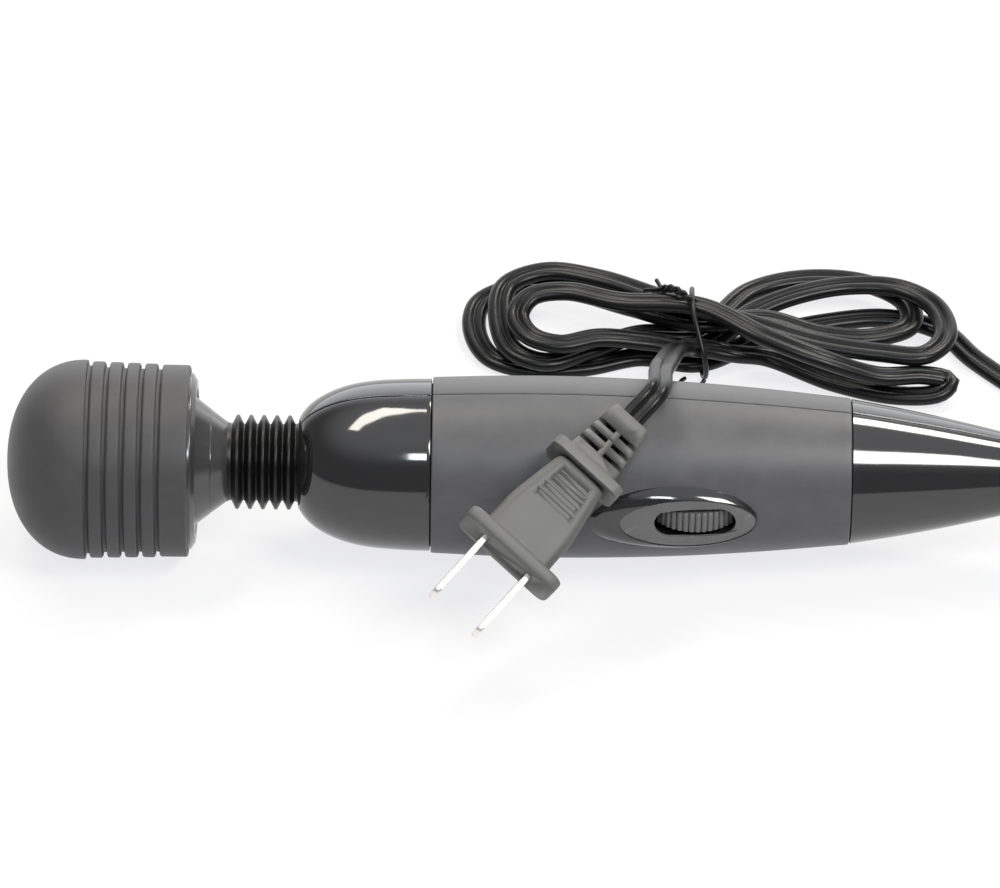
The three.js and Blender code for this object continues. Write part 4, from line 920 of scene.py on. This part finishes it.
# Sections across the plug: distance back from its face, width, thickness and corner radius.
PLUG_FRONT = [
    (0, 25.2, 14.2, 3), (0.25, 25.7, 14.7, 3), (0.7, 26, 15, 3), (2.4, 26, 15, 3), (2.8, 25.7, 14.7, 3),
    (3.05, 25, 14, 3), (3.1, 18.6, 13, 2.4), (3.4, 17.9, 12.2, 2.2),
]
PLUG_BACK = [(24.7, 12.7, 10.6, 2.1), (BODY_END, 12, 10, 2)]
PLUG_WAIST = [(BODY_END - 0.4, 10.4, 8.4, 1.8), (REAR_START + 0.4, 10.4, 8.4, 1.8)]
PLUG_REAR = [
    (REAR_START, 18.2, 12.2, 2.2), (REAR_START + 0.3, 19, 13, 2.5), (REAR_END - 0.4, 19, 13, 2.5),
    (REAR_END - 0.1, 18.5, 12.5, 2.4), (REAR_END, 17.6, 11.6, 2.2), (REAR_END + 0.05, 13.4, 8.8, 1.5),
    (REAR_END + 0.5, 13, 8.3, 1.4), (35, 11.4, 7.7, 1.4), (BOOT_END - 0.5, 9.8, 7.1, 1.3), (BOOT_END, 9.1, 6.5, 1.2),
]
TAPER_START, TAPER_LENGTH = 3.4, 20.9
THUMB_GROOVES = 8
BOOT_SLOTS = 3


def at_plug(back, across, over):
    """A point by the plug: back from its face, across its blades, and out of its flat side."""
    return PLUG_FACE - PLUG_AHEAD * back * MM + PLUG_ACROSS * across * MM + PLUG_OVER * over * MM


def plug_ring(back, wide, thick, corner):
    """Points round a rounded rectangle across the plug."""
    corners = [(wide / 2, thick / 2), (-wide / 2, thick / 2), (-wide / 2, -thick / 2), (wide / 2, -thick / 2)]
    return [at_plug(back, x, y) for x, y in fillet([(x, y, corner) for x, y in corners], closed=True)]


def loft(name, rings, finish, replaces=None, sharp_deg=40):
    """Skins a row of rings with the same number of points, and caps both ends."""
    size = len(rings[0])
    vertices = [point for ring in rings for point in ring]
    faces = end_caps(len(rings), size) + ring_faces(len(rings), size)
    return new_piece(name, vertices, faces, finish, "handle", replaces, sharp_deg=sharp_deg)


def plug_block(back, across, over, half_back, half_across, half_over):
    """A plain box by the plug, as a cutting tool."""
    vertices = []
    for b in (-1, 1):
        for a in (-1, 1):
            for o in (-1, 1):
                vertices.append(at_plug(back + b * half_back, across + a * half_across, over + o * half_over))
    faces = [(0, 1, 3, 2), (4, 6, 7, 5), (0, 4, 5, 1), (2, 3, 7, 6), (0, 2, 6, 4), (1, 5, 7, 3)]
    return new_piece("cutter", vertices, faces, "plug_grey")


def build_plug_body():
    """The moulded body with its flange, blade holes and thumb grooves, and the waist between it and the boot."""
    sections = list(PLUG_FRONT)
    for k in range(1, 11):
        t = k / 10
        wide = 17.7 - 4.5 * max(0, (t - 0.34) / 0.66) ** 1.1 - 0.1 * t
        sections.append((TAPER_START + t * TAPER_LENGTH, wide, 12.1 - t, 2.2))
    sections += PLUG_BACK
    body = loft("plug_body_moulded", [plug_ring(*s) for s in sections], "plug_grey", "plug_body")
    cutters = [plug_block(5.5, side * BLADE_SPACING / 2, 0, 6.8, 0.9, 3.3) for side in (-1, 1)]
    for k in range(THUMB_GROOVES):
        for over in (-1, 1):
            cutters.append(plug_block(14.2 + 1.15 * k, 0, over * 6.35, 0.22, 4.6 - 0.12 * k, 0.57 + 0.055 * k))
    carve(body, *cutters)
    loft("plug_waist", [plug_ring(*s) for s in PLUG_WAIST], "black_rubber")


def build_plug_boot():
    """The boot behind the plug: a collar, then a taper with slots on both sides, hollow for the cord."""
    boot = loft("plug_boot_moulded", [plug_ring(*s) for s in PLUG_REAR], "plug_grey", "plug_boot")
    cutters = [plug_block(35, 0, 0, 12, 3.2, 1.8)]
    for row in range(BOOT_SLOTS):
        back = REAR_END + 3.3 + 2.85 * row
        for side in (-1, 1):
            for over in (-1, 1):
                cutters.append(plug_block(back, side * 3.55, over * 4.4, 0.6, 2.85, 3))
    carve(boot, *cutters)


def build_blades():
    corners = ((1, 1), (-1, 1), (-1, -1), (1, -1))
    for side, word in ((-1, "left"), (1, "right")):
        rings = []
        for back, share in [(BLADE_ROOT, 1), *BLADE_TIP]:
            thick = BLADE_THICKNESS * (0.45 + 0.55 * share)
            outline = [(x * thick / 2, y * BLADE_WIDTH * share / 2, 0.28) for x, y in corners]
            outline = fillet(outline, 3, closed=True)
            rings.append([at_plug(back, side * BLADE_SPACING / 2 + x, y) for x, y in outline])
        loft(f"plug_blade_{word}_plated", rings, "nickel", f"plug_blade_{word}", 30)


# ---- cord

CORE_RADIUS = 1.42
CORE_OFFSET = 0.97  # of the radius: how far each core is from the cord's middle
CORE_POINTS = 15
CORE_ARC = 150  # degrees each way round a core before the crease
CORD_STEP = 1.1
TURN_START, TURN_END = 0.92, 0.985  # shares of the cord's length between which it turns to match the plug
HANK_X = 156.6
HANK_Y = 72
AXIS_UP = 22.4
TABLE_DROP = AXIS_Z - FLOOR_Z - AXIS_UP * MM

# The cord's course, as distances right of the tie, behind the hank's middle and up from the table.
TAIL_LEAD = [
    (49.4, -72, AXIS_UP), (65.4, -72, AXIS_UP), (81.4, -72, AXIS_UP), (93.4, -72, AXIS_UP), (100.4, -72, AXIS_UP),
    (110.5, -67, 18.5), (113, -54, 9.5), (101, -35, 2.5), (82, -20, 1.5), (64, -1, 1.5), (56, 10.5, 1.5),
    (44, 15, 1.5), (30, 13, 1.5), (15, 7, 1.5),
]
OUTER_LEFT_LOOP = [
    (-0.5, -5.5, 2.8), (-14, -2, 1.7), (-27, -6, 1.5), (-40, -7, 1.5), (-48.5, -3.5, 2), (-52.5, 7, 2.5),
    (-51, 16, 3.5), (-43.5, 20, 4.8), (-32, 18.5, 6), (-16, 9.5, 7.5),
]
FAR_RIGHT_LOOP = [
    (-0.5, 1.5, 9), (15, 4.5, 8.4), (28, 2.5, 5.8), (39.5, 2.5, 5), (48.5, 7.5, 4.8), (48, 17, 4.8),
    (38, 24.5, 4.8), (24, 25.5, 4.8), (12, 20.5, 4.7),
]
TALL_LEFT_LOOP = [
    (-0.5, 4, 4.8), (-14, 3, 4.6), (-26, -4, 4.8), (-36, -9, 5), (-43.5, -5.5, 5.7), (-46.5, 4.5, 7),
    (-45, 16, 8.5), (-36, 20.5, 9.5), (-23.5, 17, 10.2), (-10.5, 9, 11.2),
]
MIDDLE_RIGHT_LOOP = [
    (-0.5, 2.5, 12.4), (14.5, -3.5, 11.8), (27.5, -6.5, 9.7), (41.5, -8.5, 8.8), (51.5, -9, 8.7),
    (56.5, -2, 8.7), (54.5, 10, 8.7), (46.5, 17, 8.7), (35, 18, 8.6), (23, 14.5, 8.4), (12.5, 9.5, 6.9),
]
INNER_LEFT_LOOP = [
    (-0.5, -3.4, 5.8), (-12, -3.5, 7.3), (-23.5, -4.5, 8.9), (-32.5, -7.5, 9.1), (-39.5, -5, 9.5),
    (-42.5, 1.5, 10.5), (-39.5, 6.5, 12.3), (-31.5, 7.5, 13.3), (-19, 2.5, 14.3),
]
NEAR_RIGHT_LOOP = [
    (-0.5, -1, 15.8), (14, -11, 15), (27, -15.5, 12.3), (41, -15, 7), (51.5, -13, 5.9), (57, -13.5, 4.7),
    (55, -16, 3.2), (46, -16, 2.1), (31.5, -11.5, 2.1), (16, -5, 4.2),
]
PLUG_LEAD = [
    (8, -7.4, 7), (1.5, -8.4, 9), (-3.2, -10.5, 10.7), (-5.4, -14.8, 13.5), (-6.4, -21.5, 18),
    (-7.6, -34, 26), (-9, -51, 36.5), (-10.4, -66.5, 45.5),
]


def on_table(x, y, z):
    """A point from the head's tip along the wand, back from its axis, and up from the table."""
    return Vector((TIP + x * MM, AXIS_Y + y * MM, z * MM + TABLE_DROP))


def on_hank(right, back, up):
    """A point right of the tie, behind the hank's middle and up from the table."""
    return on_table(HANK_X + right, HANK_Y + back, up)


def cord_points():
    hank = (
        TAIL_LEAD + OUTER_LEFT_LOOP + FAR_RIGHT_LOOP + TALL_LEFT_LOOP + MIDDLE_RIGHT_LOOP + INNER_LEFT_LOOP
        + NEAR_RIGHT_LOOP + PLUG_LEAD
    )
    return [on_hank(*p) for p in hank] + [at_plug(back, 0, 0) for back in (BOOT_END + 9, BOOT_END, REAR_END + 4)]


def twin_section():
    """Two round cores side by side, with the crease between them."""
    outline = []
    for side in (1, -1):
        for k in range(CORE_POINTS):
            angle = math.radians(-CORE_ARC + 2 * CORE_ARC * k / (CORE_POINTS - 1))
            if side < 0:
                angle = math.pi + angle
            outline.append((
                (side * CORE_OFFSET + math.cos(angle)) * CORE_RADIUS * MM,
                math.sin(angle) * CORE_RADIUS * MM,
            ))
    return outline


def build_cord():
    path = smooth_path(cord_points(), CORD_STEP * MM)
    ups = []
    for share in np.linspace(0, 1, len(path)):
        t = (share - TURN_START) / (TURN_END - TURN_START)
        t = min(1, max(0, t))
        ups.append(UP.lerp(PLUG_OVER, t * t * (3 - 2 * t)))
    sweep(
        "power_cord_twin", path, ups, twin_section(), "cord_black", body="handle", replaces="power_cord",
        sharp_deg=60,
    )


TIE_RADIUS = 0.6
TIE_COURSE = [
    (1.2, -13.4, 6.5), (0.9, -10.6, 2.4), (0.3, -5.5, 0.65), (-0.3, 1, 0.65), (-1, 6.6, 1.9), (-1.5, 8.4, 5.8),
    (-2, 7.8, 12), (-2.2, 5.2, 16.2), (-2.3, -0.5, 18.2), (-1.8, -5.6, 17), (-0.6, -9.8, 13.8), (0.6, -12.9, 10.4),
]
TIE_KNOT = [(-2.2, -3, 18.1), (-4.3, -1, 19.3), (-7, 1.9, 18.7), (-9.2, 4.2, 16.9)]
TIE_TAILS = [[(-11.2, 5.6, 16.4), (-13.2, 6.2, 14.9)], [(-10.2, 6.4, 17.2), (-10.4, 8.2, 16.4)]]
TIE_SLACK = [
    (0.9, -12.6, 3.2), (-0.8, -14.6, 2.2), (-3.4, -15.4, 1.6), (-5.2, -14.2, 1.5), (-4.6, -11.6, 1.9),
    (-3.6, -9.4, 1.2),
]
TWIST_TURNS = 2.4
STRAND_OFFSET = 0.55
STRAND_RADIUS = 0.5
WIRE_STEP, CORE_STEP = 0.5, 0.4


def wire(name, points, radius, closed=False, replaces=None):
    path = smooth_path(points, WIRE_STEP * MM, closed)
    side = Vector((1, 0, 0)) if closed else Vector((0.3, 1, 0.2))  # never along the wire
    sweep(
        name, path, [side] * len(path), circle(radius * MM, 12), "black_rubber", closed, body="handle",
        replaces=replaces,
    )


def build_tie():
    """The wire tie: its band, its two ends twisted together on top, and the slack of the band below."""
    wire("cord_tie_band", [on_hank(*p) for p in TIE_COURSE], TIE_RADIUS, closed=True, replaces="cord_tie")
    core = smooth_path([on_hank(*p) for p in TIE_KNOT], CORE_STEP * MM)
    for strand in (0, 1):
        points = []
        for k, p in enumerate(core):
            turn = FULL_TURN * (TWIST_TURNS * k / (len(core) - 1) + strand / 2)
            points.append(Vector(p) + Vector((0, math.cos(turn), math.sin(turn))) * STRAND_OFFSET * MM)
        points += [on_hank(*p) for p in TIE_TAILS[strand]]
        wire(f"cord_tie_end_{strand + 1}", points[:-1:2] + points[-1:], STRAND_RADIUS)
    wire("cord_tie_slack", [on_hank(*p) for p in TIE_SLACK], STRAND_RADIUS)


# ---- stage

ELEVATION = math.radians(37)
PICTURE_WIDTH = 1000
PIXEL = 0.2245 * MM  # at the wand
SENSOR_WIDTH = 36
DISTANCE = 2.05
CLIP_END = 20
AXIS_BELOW_CENTRE = 4.9
LOOK_ALONG = 110.5
ROLL = math.radians(0.9)


def build_camera():
    data = bpy.data.cameras.new("camera")
    data.sensor_width = SENSOR_WIDTH
    data.lens = SENSOR_WIDTH * DISTANCE / (PICTURE_WIDTH * PIXEL)
    data.clip_end = CLIP_END
    camera = in_scene("camera", data)
    toward = Vector((0, -math.cos(ELEVATION), math.sin(ELEVATION)))
    up = Vector((0, math.sin(ELEVATION), math.cos(ELEVATION)))
    target = on_wand(LOOK_ALONG, 0, 0) + up * AXIS_BELOW_CENTRE * MM
    camera.location = target + toward * DISTANCE
    turn = (-toward).to_track_quat("-Z", "Y").to_matrix().to_4x4()
    camera.matrix_world = Matrix.Translation(camera.location) @ turn @ Matrix.Rotation(ROLL, 4, "Z")
    bpy.context.scene.camera = camera


WARM, NEUTRAL, COOL = (1, 0.96, 0.87), (1, 0.99, 0.97), (0.84, 0.92, 1)
LIGHTS = [  # name, place, target, size, watts, colour
    ("overhead_left", (-0.35, 0.25, 1.15), (0, 0, 0), (0.75, 0.2), 6, WARM),
    ("overhead_right", (0.5, 0.72, 1.05), (0, 0, 0), (0.5, 0.26), 8, WARM),
    ("front_right_box", (0.6, -0.6, 1.16), (0.05, 0, 0), (0.55, 0.4), 12, NEUTRAL),
    ("cool_window", (-0.06, -1.2, 1.3), (-0.05, 0, 0), (0.2, 0.24), 4, COOL),
]


def area_light(name, place, target, size, watts, colour):
    data = bpy.data.lights.new(name, "AREA")
    data.shape = "RECTANGLE"
    data.size, data.size_y = size
    data.energy = watts
    data.color = colour
    light = in_scene(name, data)
    light.location = Vector(place)
    light.rotation_euler = (Vector(target) - light.location).to_track_quat("-Z", "Y").to_euler()
    light.visible_camera = False


def lit_differently(material, for_camera, for_scattered):
    """Shows one shader to the camera and to mirrored rays, and another to rays that have scattered."""
    nodes = material.node_tree.nodes
    links = material.node_tree.links
    ray = nodes.new("ShaderNodeLightPath")
    mix = nodes.new("ShaderNodeMixShader")
    links.new(ray.outputs["Is Diffuse Ray"], mix.inputs["Fac"])
    links.new(for_camera, mix.inputs[1])
    links.new(for_scattered, mix.inputs[2])
    links.new(mix.outputs["Shader"], nodes["Material Output"].inputs["Surface"])


PAPER_COLOUR, PAPER_ROUGHNESS, PAPER_SPECULAR = (0.5, 0.5, 0.53, 1), 0.9, 0.1
GLOW_COLOUR, GLOW_STRENGTH = (0.98, 0.98, 1, 1), 0.8
SHADED_COLOUR = (0.2, 0.2, 0.19, 1)


def table_material():
    """White paper lit from below enough that shadows on it stay faint."""
    white = bpy.data.materials.new("table_white")
    white.use_nodes = True
    nodes = white.node_tree.nodes
    links = white.node_tree.links
    paper = nodes["Principled BSDF"]
    set_inputs(paper, Base_Color=PAPER_COLOUR, Roughness=PAPER_ROUGHNESS, Specular_IOR_Level=PAPER_SPECULAR)
    glow = nodes.new("ShaderNodeEmission")
    set_inputs(glow, Color=GLOW_COLOUR, Strength=GLOW_STRENGTH)
    faint = nodes.new("ShaderNodeBsdfDiffuse")
    set_inputs(faint, Color=SHADED_COLOUR)
    both = nodes.new("ShaderNodeAddShader")
    links.new(glow.outputs["Emission"], both.inputs[0])
    links.new(faint.outputs["BSDF"], both.inputs[1])
    lit_differently(white, both.outputs["Shader"], paper.outputs["BSDF"])
    return white


TABLE_HALF = 4
ROOM_COLOUR = (0.96, 0.97, 1, 1)
ROOM_GLOW = 0.24
CEILING_GLOW = 0.75
BACKDROP_GLOW = 2.2


def build_table():
    mesh = bpy.data.meshes.new("table")
    corners = [(x * TABLE_HALF, y * TABLE_HALF, FLOOR_Z) for x, y in ((-1, -1), (1, -1), (1, 1), (-1, 1))]
    mesh.from_pydata(corners, [], [(0, 1, 2, 3)])
    mesh.materials.append(table_material())
    in_scene("table", mesh)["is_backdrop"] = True


def build_world():
    """A room that is white to the camera and dim to the rest, with a ceiling and a backdrop that only mirrors see."""
    world = bpy.data.worlds.new("studio")
    bpy.context.scene.world = world
    world.use_nodes = True
    nodes = world.node_tree.nodes
    links = world.node_tree.links
    background = nodes["Background"]
    set_inputs(background, Color=ROOM_COLOUR)
    ray = nodes.new("ShaderNodeLightPath")
    direction = nodes.new("ShaderNodeTexCoord")
    split = nodes.new("ShaderNodeSeparateXYZ")
    links.new(direction.outputs["Generated"], split.inputs["Vector"])

    def ramp(value, low, high, top):
        node = nodes.new("ShaderNodeMapRange")
        node.interpolation_type = "SMOOTHSTEP"
        set_inputs(node, From_Min=low, From_Max=high, To_Max=top)
        links.new(value, node.inputs["Value"])
        return node.outputs["Result"]

    def combine(operation, first, second):
        node = nodes.new("ShaderNodeMath")
        node.operation = operation
        for slot, value in zip(node.inputs, (first, second)):
            if isinstance(value, float):
                slot.default_value = value
            else:
                links.new(value, slot)
        return node.outputs["Value"]

    ceiling = ramp(split.outputs["Z"], 0.5, 0.95, CEILING_GLOW)
    backdrop = ramp(split.outputs["Y"], 0.6, 0.95, BACKDROP_GLOW)
    mirrored = combine("MULTIPLY", combine("ADD", ceiling, backdrop), ray.outputs["Is Glossy Ray"])
    seen = combine("MULTIPLY", ray.outputs["Is Camera Ray"], 1 - ROOM_GLOW)
    total = combine("ADD", combine("ADD", mirrored, seen), ROOM_GLOW)
    links.new(total, background.inputs["Strength"])


def build_stage():
    build_table()
    build_world()
    for light in LIGHTS:
        area_light(*light)
    bpy.context.scene.view_settings.view_transform = "Standard"


# ---- build

paint_cad_nodes()
build_head_cover()
build_head_base()
build_neck()
build_spring()
build_handle()
build_shell_screws()
build_bezel()
build_plate()
build_dial()
build_cord_boot()
build_plug_body()
build_plug_boot()
build_blades()
build_cord()
build_tie()
build_stage()
build_camera()


def plain(bounds):
    return [[float(v) for v in corner] for corner in bounds]


{"cad": plain(cad_bounds), "visual": plain(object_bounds())}
